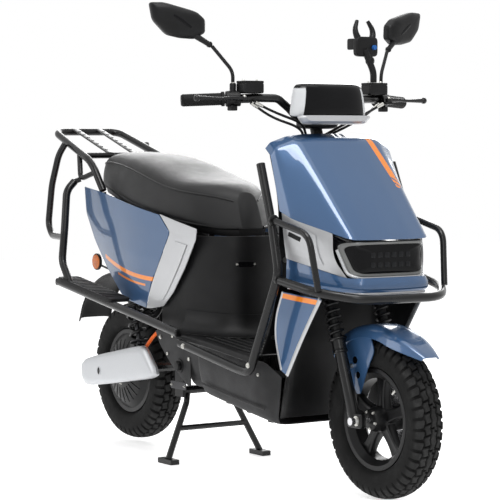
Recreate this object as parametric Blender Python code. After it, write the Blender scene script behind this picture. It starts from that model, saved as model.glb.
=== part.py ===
"""Electric moped scooter with a tubular cage, luggage rack and centre stand.

Metres. +X is forward, +Y is the rider's left, +Z is up.  Positions are written from the
point on the ground midway between the axles; the whole is moved at the end so that the
origin is the middle of the footprint.  At rest the scooter stands on its front tyre and
the two feet of the centre stand, with the rear wheel hanging just clear of the ground.
"""
import math

import bmesh
import bpy
import numpy as np
from mathutils import Matrix, Vector

WHEELBASE = 1.212
TYRE_R = 0.204
REAR_LIFT = 0.012
RIM_R_FRONT = 0.130
RIM_R_REAR = 0.126
TYRE_W_FRONT = 0.087
TYRE_W_REAR = 0.093
TREAD_DEPTH = 0.0035
TREAD_BLOCKS = 28

RAKE = math.radians(20.0)
AXLE_LEAD = 0.020
STEER_BACK = 0.012
LEG_Y = 0.078
STANCHION_R = 0.0125
LEG_R = 0.0175
LEG_TOP = 0.405
CROWN_Z = 0.600
HEAD_LOW = 0.645
HEAD_HIGH = 0.845
STEM_R = 0.0160
FORK_TRAVEL = 0.060

BAR_R = 0.0110
GRIP_R = 0.0162
GRIP_LEN = 0.112
BAR_HALF = 0.358

CAGE_R = 0.0115
RACK_R = 0.0110
FRAME_R = 0.0150
PANEL = 0.003
GAP = 0.0005

PIVOT_X = -0.165
PIVOT_Z = 0.276
ARM_Y = 0.105
SHOCK_Y = 0.088
SHOCK_TOP = (-0.520, 0.540)
SHOCK_LOW = (-0.450, 0.300)
STAND_X = -0.215
STAND_Z = 0.200
STAND_HALF = 0.155

SEAT_HINGE_X = 0.070
SEAT_HINGE_Z = 0.648
RACK_REAR = -0.919
RACK_REAR_HALF = 0.112

FRONT_AXLE = (WHEELBASE / 2, TYRE_R)
REAR_AXLE = (-WHEELBASE / 2, TYRE_R + REAR_LIFT)
ORIGIN_SHIFT = -(FRONT_AXLE[0] + TYRE_R + RACK_REAR - RACK_R) / 2

COLOURS = {
    "blue_paint": (0.105, 0.175, 0.300, 1),
    "silver_trim": (0.620, 0.620, 0.620, 1),
    "black_plastic": (0.020, 0.020, 0.021, 1),
    "grey_plastic": (0.070, 0.070, 0.070, 1),
    "black_tube": (0.025, 0.025, 0.026, 1),
    "chassis_paint": (0.030, 0.030, 0.030, 1),
    "steel": (0.550, 0.550, 0.560, 1),
    "grip_rubber": (0.030, 0.030, 0.030, 1),
    "tyre_rubber": (0.018, 0.018, 0.018, 1),
    "rim_black": (0.022, 0.022, 0.023, 1),
    "seat_vinyl": (0.030, 0.030, 0.031, 1),
    "lens_dark": (0.015, 0.015, 0.017, 1),
    "lamp_red": (0.350, 0.015, 0.015, 1),
    "cable_orange": (0.800, 0.130, 0.020, 1),
    "cable_black": (0.015, 0.015, 0.015, 1),
    "spring_black": (0.020, 0.020, 0.020, 1),
    "cover_silver": (0.580, 0.580, 0.590, 1),
    "battery_case": (0.040, 0.045, 0.050, 1),
}
METALS = ("steel", "cover_silver", "silver_trim")


def material(slot):
    """The named slot's material, made the first time it is asked for."""
    found = bpy.data.materials.get(slot)
    if found:
        return found
    made = bpy.data.materials.new(slot)
    made.use_nodes = True
    shader = made.node_tree.nodes["Principled BSDF"]
    shader.inputs["Base Color"].default_value = COLOURS[slot]
    shader.inputs["Roughness"].default_value = 0.45
    shader.inputs["Metallic"].default_value = 0.8 if slot in METALS else 0.0
    return made


def solid(name, verts, faces, slot, smooth=True):
    """A mesh object from vertices and faces."""
    mesh = bpy.data.meshes.new(name)
    mesh.from_pydata([tuple(map(float, v)) for v in verts], [], [tuple(f) for f in faces])
    mesh.validate()
    mesh.update()
    made = bpy.data.objects.new(name, mesh)
    bpy.context.scene.collection.objects.link(made)
    made.data.materials.append(material(slot))
    for face in mesh.polygons:
        face.use_smooth = smooth
    return made


def outward(made):
    """Turn every face of a closed body to the outside."""
    work = bmesh.new()
    work.from_mesh(made.data)
    bmesh.ops.remove_doubles(work, verts=work.verts, dist=1e-6)
    bmesh.ops.recalc_face_normals(work, faces=work.faces)
    if work.calc_volume(signed=True) < 0:
        bmesh.ops.reverse_faces(work, faces=work.faces)
    work.to_mesh(made.data)
    work.free()
    made.data.update()
    return made


def loft(name, rings, slot, smooth=True, loop=False):
    """A closed body through rings that have the same number of points."""
    count = len(rings[0])
    verts = [p for ring in rings for p in ring]
    faces = []
    spans = len(rings) if loop else len(rings) - 1
    for i in range(spans):
        a = i * count
        b = ((i + 1) % len(rings)) * count
        for j in range(count):
            k = (j + 1) % count
            faces.append((a + j, a + k, b + k, b + j))
    if not loop:
        faces.append(tuple(reversed(range(count))))
        last = (len(rings) - 1) * count
        faces.append(tuple(last + j for j in range(count)))
    return outward(solid(name, verts, faces, slot, smooth))


def rounded(points, radius, steps=2):
    """A polyline with its inner corners rounded."""
    pts = [Vector(p) for p in points]
    out = [pts[0]]
    for before, here, after in zip(pts, pts[1:], pts[2:]):
        into = (before - here)
        away = (after - here)
        cut = min(radius, 0.45 * into.length, 0.45 * away.length)
        start = here + into.normalized() * cut
        end = here + away.normalized() * cut
        for i in range(steps + 1):
            t = i / steps
            out.append(start * (1 - t) ** 2 + here * 2 * t * (1 - t) + end * t ** 2)
    out.append(pts[-1])
    return out


def sweep(name, points, radius, slot, sides=8, flat=1.0, side=None):
    """A tube, or a flat bar, carried along a polyline and closed at both ends."""
    pts = [Vector(p) for p in points]
    tangents = []
    for i, here in enumerate(pts):
        before = pts[max(i - 1, 0)]
        after = pts[min(i + 1, len(pts) - 1)]
        one = (here - before).normalized() if i else Vector()
        two = (after - here).normalized() if i < len(pts) - 1 else Vector()
        tangents.append((one + two).normalized())
    first = tangents[0]
    across = Vector(side) if side else first.orthogonal()
    across = (across - first * across.dot(first)).normalized()
    rings = []
    for here, tangent in zip(pts, tangents):
        across = (across - tangent * across.dot(tangent)).normalized()
        upward = tangent.cross(across)
        ring = []
        for j in range(sides):
            turn = 2 * math.pi * (j + 0.5) / sides
            ring.append(here + across * math.cos(turn) * radius + upward * math.sin(turn) * radius * flat)
        rings.append(ring)
    return loft(name, rings, slot)


def frame_of(axis):
    """Two unit vectors square to an axis."""
    axis = Vector(axis).normalized()
    one = axis.orthogonal().normalized()
    if abs(axis.y) < 0.9:
        one = (Vector((0, 1, 0)) - axis * axis.y).normalized()
    else:
        one = (Vector((0, 0, 1)) - axis * axis.z).normalized()
    return axis, one, axis.cross(one)


def turned(name, base, axis, profile, slot, segments=24, ring=True):
    """A body of revolution.  profile is (along, radius); ring joins its two ends."""
    axis, one, two = frame_of(axis)
    base = Vector(base)
    rows = []
    for i in range(segments):
        turn = 2 * math.pi * i / segments
        spoke = one * math.cos(turn) + two * math.sin(turn)
        rows.append([base + axis * along + spoke * radius for along, radius in profile])
    count = len(profile)
    verts = [p for row in rows for p in row]
    faces = []
    for i in range(segments):
        a = i * count
        b = ((i + 1) % segments) * count
        for j in range(count if ring else count - 1):
            k = (j + 1) % count
            faces.append((a + j, b + j, b + k, a + k))
    if not ring:
        faces.append(tuple(i * count for i in range(segments)))
        faces.append(tuple(i * count + count - 1 for i in range(segments)))
    return outward(solid(name, verts, faces, slot))


def rod(name, start, end, radius, slot, segments=12):
    """A plain round bar between two points."""
    start = Vector(start)
    run = Vector(end) - start
    return turned(name, start, run, [(0, radius), (run.length, radius)], slot, segments, ring=False)


def block(name, low, high, slot):
    """A plain box between two corners."""
    x0, y0, z0 = low
    x1, y1, z1 = high
    rings = []
    for x in (x0, x1):
        rings.append([(x, y0, z0), (x, y1, z0), (x, y1, z1), (x, y0, z1)])
    return loft(name, rings, slot, smooth=False)


def shell(name, grid, thick, slot):
    """A closed sheet of even thickness below a grid of points (rows by columns)."""
    grid = np.asarray(grid, float)
    rows, cols, _ = grid.shape
    down = np.gradient(grid, axis=0)
    along = np.gradient(grid, axis=1)
    normal = np.cross(along, down)
    normal /= np.linalg.norm(normal, axis=2, keepdims=True)
    inner = grid - normal * thick
    verts = list(grid.reshape(-1, 3)) + list(inner.reshape(-1, 3))
    size = rows * cols
    faces = []
    for i in range(rows - 1):
        for j in range(cols - 1):
            a = i * cols + j
            faces.append((a, a + 1, a + cols + 1, a + cols))
            faces.append((size + a, size + a + cols, size + a + cols + 1, size + a + 1))
    rim = [j for j in range(cols)]
    rim += [i * cols + cols - 1 for i in range(1, rows)]
    rim += [(rows - 1) * cols + j for j in range(cols - 2, -1, -1)]
    rim += [i * cols for i in range(rows - 2, 0, -1)]
    for a, b in zip(rim, rim[1:] + rim[:1]):
        faces.append((a, size + a, size + b, b))
    return outward(solid(name, verts, faces, slot))


def combine(base, tools, kind="UNION"):
    """Join other bodies to a body, or cut them out of it."""
    for tool in tools:
        step = base.modifiers.new("step", "BOOLEAN")
        step.operation = kind
        step.solver = "EXACT"
        step.object = tool
        scene_now = bpy.context.evaluated_depsgraph_get()
        scene_now.update()
        mesh = bpy.data.meshes.new_from_object(base.evaluated_get(scene_now))
        base.modifiers.clear()
        old = base.data
        base.data = mesh
        bpy.data.meshes.remove(old)
        bpy.data.objects.remove(tool)
    return base


def cut(base, tools):
    """Cut other bodies out of a body."""
    return combine(base, tools, "DIFFERENCE")


def mirrored(points):
    """The same points on the other side."""
    return [(p[0], -p[1], p[2]) for p in points]


def across_twin(made, name):
    """A left-hand copy of a right-hand body."""
    mesh = made.data.copy()
    work = bmesh.new()
    work.from_mesh(mesh)
    bmesh.ops.scale(work, vec=(1, -1, 1), verts=work.verts)
    bmesh.ops.reverse_faces(work, faces=work.faces)
    work.to_mesh(mesh)
    work.free()
    twin = bpy.data.objects.new(name, mesh)
    bpy.context.scene.collection.objects.link(twin)
    return twin


def pivot_at(made, point):
    """Put a piece's origin on its joint without moving the piece."""
    made.data.transform(Matrix.Translation(-Vector(point)))
    made.location = point
    return made


def lerp_rows(rows, steps):
    """Extra rows, evenly spaced between the given rows."""
    rows = [np.asarray(row, float) for row in rows]
    out = []
    for one, two in zip(rows, rows[1:]):
        for i in range(steps):
            out.append(one + (two - one) * i / steps)
    out.append(rows[-1])
    return np.array(out)


def steer_point(z, back=0.0, y=0.0):
    """A point at a height on the steering axis, set back from it square to the axis."""
    x = FRONT_AXLE[0] - AXLE_LEAD - STEER_BACK - (z - TYRE_R) * math.tan(RAKE)
    return Vector((x - back * math.cos(RAKE), y, z - back * math.sin(RAKE)))


def leg_point(z, y):
    """A point at a height on a fork leg's centre line."""
    x = FRONT_AXLE[0] - AXLE_LEAD - (z - TYRE_R) * math.tan(RAKE)
    return Vector((x, y, z))


STEER_DIR = Vector((-math.sin(RAKE), 0, math.cos(RAKE)))


def build_frame():
    """The tube frame: head tube, down tube, two rails, cross tubes, brackets and posts."""
    rail = [(0.335, 0.100, 0.240), (-0.110, 0.100, 0.258), (-0.175, 0.1125, 0.350), (-0.340, 0.112, 0.600),
            (-0.602, 0.112, 0.679)]
    low = HEAD_LOW
    head = turned("main_frame", steer_point(low), STEER_DIR,
                  [(0, 0.0172), (0, 0.0285), ((HEAD_HIGH - low) / math.cos(RAKE), 0.0285),
                   ((HEAD_HIGH - low) / math.cos(RAKE), 0.0172)], "chassis_paint", 16)
    parts = []
    down = [steer_point(low + 0.030, 0.022), (0.345, 0, 0.420), (0.335, 0, 0.240)]
    parts.append(sweep("down", rounded(down, 0.06), 0.020, "chassis_paint", 6))
    parts.append(sweep("cross1", [(0.335, -0.112, 0.240), (0.335, 0.112, 0.240)], 0.017, "chassis_paint",
            6))
    parts.append(sweep("rail_r", rounded(mirrored(rail), 0.05), FRAME_R, "chassis_paint", 6))
    parts.append(sweep("rail_l", rounded(rail, 0.05), FRAME_R, "chassis_paint", 6))
    for x, z in ((-0.105, 0.258), (-0.310, 0.556), (-0.580, 0.672)):
        parts.append(sweep("cross", [(x, -0.112, z), (x, 0.112, z)], 0.012, "chassis_paint", 6))
    for side in (-1, 1):
        parts.append(block("plate", (-0.200, side * 0.0925, 0.252), (-0.125, side * 0.1045, 0.350),
                "chassis_paint"))
        parts.append(block("lug", (-0.236, side * 0.0925, 0.182), (-0.194, side * 0.1015, 0.300),
                "chassis_paint"))
        foot = [(-0.594, side * 0.112, 0.678), (-0.600, side * 0.125, 0.752)]
        parts.append(sweep("rack_post", foot, 0.009, "chassis_paint", 6))
        top = [(-0.500, side * 0.100, 0.648), (SHOCK_TOP[0], side * 0.112, 0.590)]
        parts.append(sweep("shock_post", top, 0.010, "chassis_paint", 6))
        parts.append(block("shock_ear", (-0.538, side * 0.1085, 0.5335), (-0.502, side * 0.1145, 0.600),
                "chassis_paint"))
        pin = [(SHOCK_TOP[0], side * 0.072, SHOCK_TOP[1]), (SHOCK_TOP[0], side * 0.110, SHOCK_TOP[1])]
        parts.append(rod("shock_pin", pin[0], pin[1], 0.0050, "chassis_paint", 10))
        bar = [(0.250, side * 0.100, 0.244), (0.250, side * 0.180, 0.300), (0.250, side * 0.2190, 0.312)]
        parts.append(sweep("floor_bracket", rounded(bar, 0.02), 0.008, "chassis_paint", 6))
        stay = [(-0.260, side * 0.112, 0.478), (-0.260, side * 0.150, 0.404),
                (-0.260, side * 0.2128, 0.411)]
        parts.append(sweep("foot_bracket", rounded(stay, 0.02), 0.008, "chassis_paint", 6))
    parts.append(block("tray", (-0.225, -0.112, 0.388), (-0.020, 0.112, 0.3995), "chassis_paint"))
    parts.append(rod("lamp_arm", (0.415, 0, 0.668), (0.5445, 0, 0.650), 0.0090, "chassis_paint", 8))
    parts.append(rod("shield_arm", (0.365, 0, 0.800), (0.4998, 0, 0.800), 0.0060, "chassis_paint", 8))
    parts.append(rod("leg_arm", (0.345, 0, 0.760), (0.3243, 0, 0.760), 0.0080, "chassis_paint", 8))
    parts.append(rod("splash_arm", (0.345, 0, 0.400), (0.3835, 0, 0.400), 0.0080, "chassis_paint", 8))
    parts.append(rod("guard_arm", (-0.580, 0, 0.672), (-0.580, 0, 0.5195), 0.0080, "chassis_paint", 8))
    for side in (-1, 1):
        parts.append(rod("post", (0.250, side * 0.100, 0.1876), (0.250, side * 0.100, 0.3472), 0.0075,
                "chassis_paint", 8))
        parts.append(rod("post", (0.080, side * 0.100, 0.2112), (0.080, side * 0.100, 0.3647), 0.0075,
                "chassis_paint", 8))
        parts.append(rod("seat_post", (-0.580, side * 0.060, 0.672), (-0.580, side * 0.060, 0.7540),
                0.0090, "chassis_paint", 8))
        parts.append(rod("seat_post", (-0.310, side * 0.070, 0.556), (-0.310, side * 0.070, 0.7027),
                0.0090, "chassis_paint", 8))
        parts.append(rod("panel_arm", (-0.340, side * 0.112, 0.600), (-0.340, side * 0.1713, 0.600),
                0.0060, "chassis_paint", 8))
        parts.append(rod("panel_arm", (-0.530, side * 0.112, 0.657), (-0.530, side * 0.1477, 0.657),
                0.0060, "chassis_paint", 8))
        parts.append(rod("trim_arm", (-0.236, side * 0.112, 0.442), (-0.236, side * 0.1638, 0.442),
                0.0060, "chassis_paint", 8))
    frame = combine(head, parts)
    bore = rod("bore", steer_point(low - 0.03), steer_point(HEAD_HIGH + 0.03), 0.0172, "chassis_paint", 16)
    return cut(frame, [bore])


def build_front_panels():
    """The shield, its cheeks, the belt, the lamp and the leg panels."""
    def half(row):
        right = [(x, -y, z) for x, y, z in row]
        return right + [(x, y, z) for x, y, z in reversed(row[:-1])]

    lip = half([(0.340, 0.181, 0.886), (0.352, 0.176, 0.900), (0.362, 0.135, 0.915), (0.352, 0.070, 0.921),
                (0.348, 0.0, 0.922)])
    top = half([(0.372, 0.187, 0.868), (0.384, 0.180, 0.884), (0.402, 0.130, 0.905), (0.404, 0.070, 0.909),
                (0.404, 0.0, 0.910)])
    low = half([(0.426, 0.196, 0.728), (0.470, 0.186, 0.708), (0.626, 0.119, 0.660), (0.634, 0.065, 0.659),
                (0.636, 0.0, 0.659)])
    rows = np.vstack([[lip], lerp_rows([top, low], 4)])
    shell("front_shield", rows, PANEL, "blue_paint")

    cheek = [[(0.428, -0.193, 0.712), (0.500, -0.176, 0.688), (0.570, -0.150, 0.664)],
             [(0.434, -0.190, 0.670), (0.515, -0.172, 0.640), (0.580, -0.143, 0.615)],
             [(0.440, -0.185, 0.6086), (0.530, -0.160, 0.5886), (0.606, -0.118, 0.5648)]]
    right = shell("nose_cheek_right", lerp_rows(cheek, 2), PANEL, "silver_trim")
    across_twin(right, "nose_cheek_left")

    ring = [(0.440, 0.184), (0.530, 0.160), (0.610, 0.124), (0.645, 0.103), (0.655, 0.060), (0.658, 0.0)]
    band = []
    for z, out in ((0.606, -0.004), (0.580, 0.004), (0.545, 0.004), (0.536, -0.010)):
        drop = [0.000, -0.020, -0.044, -0.042, -0.0412, -0.0412] if z > 0.6 else [0.0, -0.012, -0.028,
                -0.030, -0.030, -0.030]
        drop = [d if z > 0.57 else d * 0.3 for d in drop]
        row = [(x + out * 0.6, y + out * 0.6, z + d) for (x, y), d in zip(ring, drop)]
        row[-1] = (row[-1][0], 0.0, row[-1][2])
        band.append(half(row))
    shell("nose_lower_panel", band, PANEL, "blue_paint")

    body = []
    for x, w, top_z, low_z in ((0.548, 0.143, 0.672, 0.575), (0.565, 0.143, 0.669, 0.571),
            (0.602, 0.118, 0.660, 0.568),
                               (0.628, 0.106, 0.6545, 0.566)):
        body.append([(x, -w, top_z - 0.010), (x, -w + 0.012, top_z), (x, w - 0.012, top_z),
                (x, w, top_z - 0.010),
                     (x + 0.003, w * 0.92, low_z + 0.008), (x + 0.003, w * 0.92 - 0.012, low_z),
                     (x + 0.003, -w * 0.92 + 0.012, low_z), (x + 0.003, -w * 0.92, low_z + 0.008)])
    bezel = loft("headlight_bezel", body, "silver_trim", smooth=False)
    pocket = []
    for x, w in ((0.585, 0.090), (0.660, 0.096)):
        pocket.append([(x, -w, 0.640), (x, w, 0.640), (x, w * 0.92, 0.577), (x, -w * 0.92, 0.577)])
    cut(bezel, [loft("pocket", pocket, "black_plastic", smooth=False)])
    lens = []
    for x, w in ((0.590, 0.0895), (0.622, 0.0915)):
        lens.append([(x, -w, 0.6385), (x, w, 0.6385), (x, w * 0.92, 0.5785), (x, -w * 0.92, 0.5785)])
    loft("headlight_lens", lens, "lens_dark", smooth=False)

    leg = [[(0.404, -0.172, 0.520), (0.480, -0.170, 0.515), (0.556, -0.162, 0.510)],
           [(0.366, -0.175, 0.428), (0.424, -0.172, 0.420), (0.482, -0.164, 0.410)],
           [(0.388, -0.166, 0.318), (0.398, -0.164, 0.312), (0.408, -0.160, 0.306)]]
    right = shell("leg_panel_right", lerp_rows(leg, 2), PANEL, "blue_paint")
    across_twin(right, "leg_panel_left")


def build_inner_panels():
    """The leg shield, splash panel, floor, seat front, belly and battery."""
    rows = []
    for z, mid, side, width in ((0.885, 0.282, 0.338, 0.170), (0.760, 0.322, 0.392, 0.178),
            (0.650, 0.345, 0.398, 0.178),
                                (0.520, 0.326, 0.372, 0.168), (0.420, 0.312, 0.342, 0.168),
                                (0.352, 0.305, 0.318, 0.180)):
        row = []
        for t in (-1.0, -0.8, -0.45, -0.2, 0.2, 0.45, 0.8, 1.0):
            bulge = max(0.0, 1 - abs(t) / 0.85)
            bulge = bulge * bulge * (3 - 2 * bulge)
            row.append((side - (side - mid) * min(1.0, bulge * 1.35), width * t, z))
        rows.append(row)
    shell("leg_shield", rows, -PANEL, "black_plastic")

    rows = []
    for z, x, edge, width in ((0.520, 0.390, 0.553, 0.1618), (0.415, 0.388, 0.477, 0.1634),
            (0.310, 0.370, 0.404, 0.1585),
                              (0.215, 0.364, 0.356, 0.1300)):
        row = []
        for t in (-1.0, -0.86, -0.7, 0.0, 0.7, 0.86, 1.0):
            row.append((x + (edge - x) * abs(t) ** 7, width * t, z))
        rows.append(row)
    shell("splash_panel", rows, PANEL, "black_plastic")

    tray = []
    for x, z in ((0.300, 0.348), (0.220, 0.356), (0.130, 0.366), (0.040, 0.374), (-0.060, 0.378)):
        tray.append([(x, -0.208, z - 0.014), (x, -0.204, z - 0.003), (x, -0.190, z), (x, 0.190, z),
                     (x, 0.204, z - 0.003), (x, 0.208, z - 0.014)])
    shell("floor_board", tray, 0.005, "black_plastic")

    rows = []
    for z, grow in ((0.644, 0.0), (0.600, 0.006), (0.520, 0.0), (0.440, 0.0), (0.3783, 0.010)):
        side = [(-0.200, 0.150), (-0.110, 0.148), (-0.050, 0.136), (0.005, 0.104), (0.038, 0.060),
                (0.046, 0.0)]
        row = [(x + grow, -y - grow * 0.3, z) for x, y in side]
        row += [(x + grow, y + grow * 0.3, z) for x, y in reversed(side[:-1])]
        lean = 0.10 * (0.644 - z)
        rows.append([(x - (lean if abs(y) > 0.12 else 0.0), y, zz) for x, y, zz in row])
    shell("seat_front_panel", rows, PANEL, "black_plastic")

    rows = []
    for x, side, low_z, top_z in ((0.345, 0.186, 0.172, 0.334), (0.300, 0.191, 0.179, 0.3365),
                                  (0.250, 0.192, 0.186, 0.344), (0.150, 0.192, 0.200, 0.354),
                                  (0.060, 0.190, 0.212, 0.362), (0.020, 0.186, 0.2165, 0.3645),
                                  (-0.010, 0.152, 0.219, 0.366), (-0.030, 0.136, 0.220, 0.366),
                                  (-0.118, 0.134, 0.222, 0.368)):
        mid = (low_z + top_z) / 2
        row = [(x, -side, top_z), (x, -side + 0.002, mid), (x, -side + 0.018, low_z + 0.014),
               (x, -side + 0.040, low_z)]
        rows.append(row + mirrored(reversed(row)))
    nose = [(0.392, -0.167, 0.299), (0.386, -0.168, 0.240), (0.366, -0.160, 0.188), (0.352, -0.142, 0.1715)]
    rows.insert(0, nose + mirrored(reversed(nose)))
    belly = shell("belly_fairing", rows, PANEL, "grey_plastic")
    holes = []
    for side in (-1, 1):
        low_y, high_y = sorted((side * 0.165, side * 0.215))
        holes.append(block("hole", (0.238, low_y, 0.284), (0.262, high_y, 0.326), "grey_plastic"))
    cut(belly, holes)

    block("battery_pack", (-0.190, -0.080, 0.400), (-0.020, 0.080, 0.600), "battery_case")


def build_rear_panels():
    """The side panels, trims, mudguard and tail lamp."""
    lines = [[(-0.702, -0.127, 0.766), (-0.540, -0.149, 0.750), (-0.370, -0.166, 0.721),
            (-0.203, -0.171, 0.698)],
             [(-0.694, -0.126, 0.690), (-0.520, -0.152, 0.682), (-0.340, -0.172, 0.668),
             (-0.141, -0.176, 0.652)],
             [(-0.646, -0.124, 0.610), (-0.510, -0.150, 0.598), (-0.350, -0.172, 0.585),
             (-0.196, -0.176, 0.570)],
             [(-0.560, -0.134, 0.535), (-0.460, -0.154, 0.525), (-0.350, -0.170, 0.512),
             (-0.246, -0.174, 0.500)],
             [(-0.420, -0.157, 0.450), (-0.375, -0.162, 0.446), (-0.328, -0.166, 0.440),
             (-0.280, -0.168, 0.434)]]
    right = shell("rear_side_panel_right", lerp_rows(lines, 2), PANEL, "blue_paint")
    across_twin(right, "rear_side_panel_left")
    lines = [[(-0.199, -0.171, 0.700), (-0.112, -0.168, 0.682), (-0.026, -0.160, 0.664)],
             [(-0.137, -0.1755, 0.652), (-0.088, -0.170, 0.643), (-0.032, -0.160, 0.633)],
             [(-0.192, -0.1755, 0.569), (-0.142, -0.170, 0.562), (-0.086, -0.160, 0.555)],
             [(-0.242, -0.1735, 0.499), (-0.196, -0.168, 0.492), (-0.148, -0.160, 0.484)],
             [(-0.276, -0.1675, 0.433), (-0.240, -0.165, 0.436), (-0.198, -0.160, 0.444)]]
    right = shell("rear_trim_right", lerp_rows(lines, 2), PANEL, "silver_trim")
    across_twin(right, "rear_trim_left")

    rows = []
    for x, z, w in ((-0.385, 0.330, 0.050), (-0.400, 0.420, 0.052), (-0.460, 0.490, 0.052),
            (-0.570, 0.515, 0.052),
                    (-0.700, 0.508, 0.052), (-0.790, 0.474, 0.052), (-0.848, 0.422, 0.052),
                    (-0.870, 0.358, 0.054)):
        rows.append([(x, -w, z - 0.012), (x, -w * 0.9, z), (x, w * 0.9, z), (x, w, z - 0.012)])
    shell("rear_mudguard", rows, -0.004, "black_plastic")

    rings = []
    for x, w, low_z, top_z in ((-0.620, 0.108, 0.620, 0.735), (-0.664, 0.110, 0.628, 0.745),
            (-0.690, 0.080, 0.650, 0.735)):
        rings.append([(x, -w, low_z + 0.015), (x, -w + 0.015, low_z), (x, w - 0.015, low_z),
                (x, w, low_z + 0.015),
                      (x, w, top_z - 0.015), (x, w - 0.015, top_z), (x, -w + 0.015, top_z),
                      (x, -w, top_z - 0.015)])
    light = loft("tail_light", rings, "lamp_red", smooth=False)
    boss = block("boss", (-0.640, -0.045, 0.662), (-0.5919, 0.045, 0.682), "lamp_red")
    return combine(light, [boss])


def build_rack():
    """The luggage rack: a bent loop, a cross tube, two straps and two stays."""
    side = [(-0.600, 0.125, 0.757), (-0.648, 0.137, 0.842), (RACK_REAR, RACK_REAR_HALF, 0.931)]
    loop = [(p[0], -p[1], p[2]) for p in side] + list(reversed(side))
    rack = sweep("rear_rack", rounded(loop, 0.035), RACK_R, "black_tube")
    parts = []
    parts.append(sweep("cross", [(-0.705, -0.134, 0.860), (-0.705, 0.134, 0.860)], 0.009, "black_tube"))
    for y in (-0.042, 0.042):
        strap = [(-0.705, y, 0.866), (RACK_REAR, y, 0.937)]
        parts.append(sweep("strap", strap, 0.012, "black_tube", 4, 0.25, (0, 1, 0)))
    for s in (-1, 1):
        stay = [(-0.735, s * 0.129, 0.868), (-0.7056, s * 0.142, 0.7895), (-0.632, s * 0.131, 0.812)]
        parts.append(sweep("stay", rounded(stay, 0.02), 0.008, "black_tube", 6))
    return combine(rack, parts)


def build_guards():
    """A lower rail, a hoop, a bag loop and a foot plate on each side."""
    def rail_z(x):
        return 0.384 - 0.152 * (x + 0.020)

    bar = sweep("side_guard_right", [(-0.020, -0.226, rail_z(-0.02)), (-0.690, -0.226, rail_z(-0.69))],
            CAGE_R, "black_tube")
    hoop = [(-0.715, -0.158, 0.782), (-0.712, -0.186, 0.756), (-0.690, -0.206, 0.640),
            (-0.690, -0.215, 0.545),
            (-0.618, -0.224, rail_z(-0.618))]
    parts = [sweep("hoop", rounded(hoop, 0.03), CAGE_R, "black_tube")]
    loop = [(-0.800, -0.1434, 0.893), (-0.812, -0.158, 0.862), (-0.834, -0.170, 0.770),
            (-0.850, -0.174, 0.650),
            (-0.815, -0.180, 0.617), (-0.690, -0.208, 0.617)]
    parts.append(sweep("loop", rounded(loop, 0.03), 0.0100, "black_tube"))
    pad = []
    for y in (-0.238, -0.168):
        pad.append([(-0.675, y, rail_z(-0.675) + 0.006), (-0.375, y, rail_z(-0.375) + 0.006),
                    (-0.355, y, rail_z(-0.355) + 0.018), (-0.690, y, rail_z(-0.69) + 0.018)])
    parts.append(loft("pad", pad, "black_tube", smooth=False))
    right = combine(bar, parts)
    return right, across_twin(right, "side_guard_left")


def build_cage():
    """The front cage: two side tubes, a bow and two small hoops."""
    line = [(0.359, -0.211, 0.847), (0.421, -0.218, 0.693), (0.455, -0.221, 0.572), (0.357, -0.230, 0.350),
            (0.338, -0.230, 0.310), (0.290, -0.230, 0.312), (0.000, -0.230, 0.358)]
    cage = sweep("crash_bar", rounded(line, 0.045), CAGE_R, "black_tube")
    parts = [sweep("left", rounded(mirrored(line), 0.045), CAGE_R, "black_tube")]
    half = [(0.448, -0.222, 0.556), (0.590, -0.200, 0.530), (0.686, -0.118, 0.514)]
    bow = half + mirrored(list(reversed(half)))
    parts.append(sweep("bow", rounded(bow, 0.050), CAGE_R, "black_tube"))
    for s in (-1, 1):
        hoop = [(0.428, -0.220, 0.706), (0.575, -0.213, 0.674), (0.598, -0.200, 0.534)]
        hoop = [(x, -s * y, z) for x, y, z in hoop]
        parts.append(sweep("hoop", rounded(hoop, 0.035), 0.0085, "black_tube"))
    return combine(cage, parts)


def build_stand():
    """The centre stand: a pivot tube, two legs, feet and a brace."""
    stand = rod("center_stand", (STAND_X, -0.092, STAND_Z), (STAND_X, 0.092, STAND_Z), 0.012,
            "black_tube", 12)
    parts = []
    for s in (-1, 1):
        foot_y = s * STAND_HALF
        leg = [(STAND_X, s * 0.072, STAND_Z), (STAND_X + 0.006, s * 0.080, STAND_Z - 0.036),
                (STAND_X + 0.030, foot_y, 0.012)]
        parts.append(sweep("leg", leg, 0.009, "black_tube", 8))
        parts.append(block("foot", (STAND_X - 0.005, foot_y - 0.014, 0.0),
                (STAND_X + 0.065, foot_y + 0.014, 0.014), "black_tube"))
    brace_z = 0.095
    brace_x = STAND_X + 0.018
    reach = 0.080 + (STAND_HALF - 0.080) * (STAND_Z - 0.036 - brace_z) / (STAND_Z - 0.048)
    parts.append(sweep("brace", [(brace_x, -reach, brace_z), (brace_x, reach, brace_z)], 0.008,
            "black_tube", 8))
    return pivot_at(combine(stand, parts), (STAND_X, 0, STAND_Z))


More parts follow.
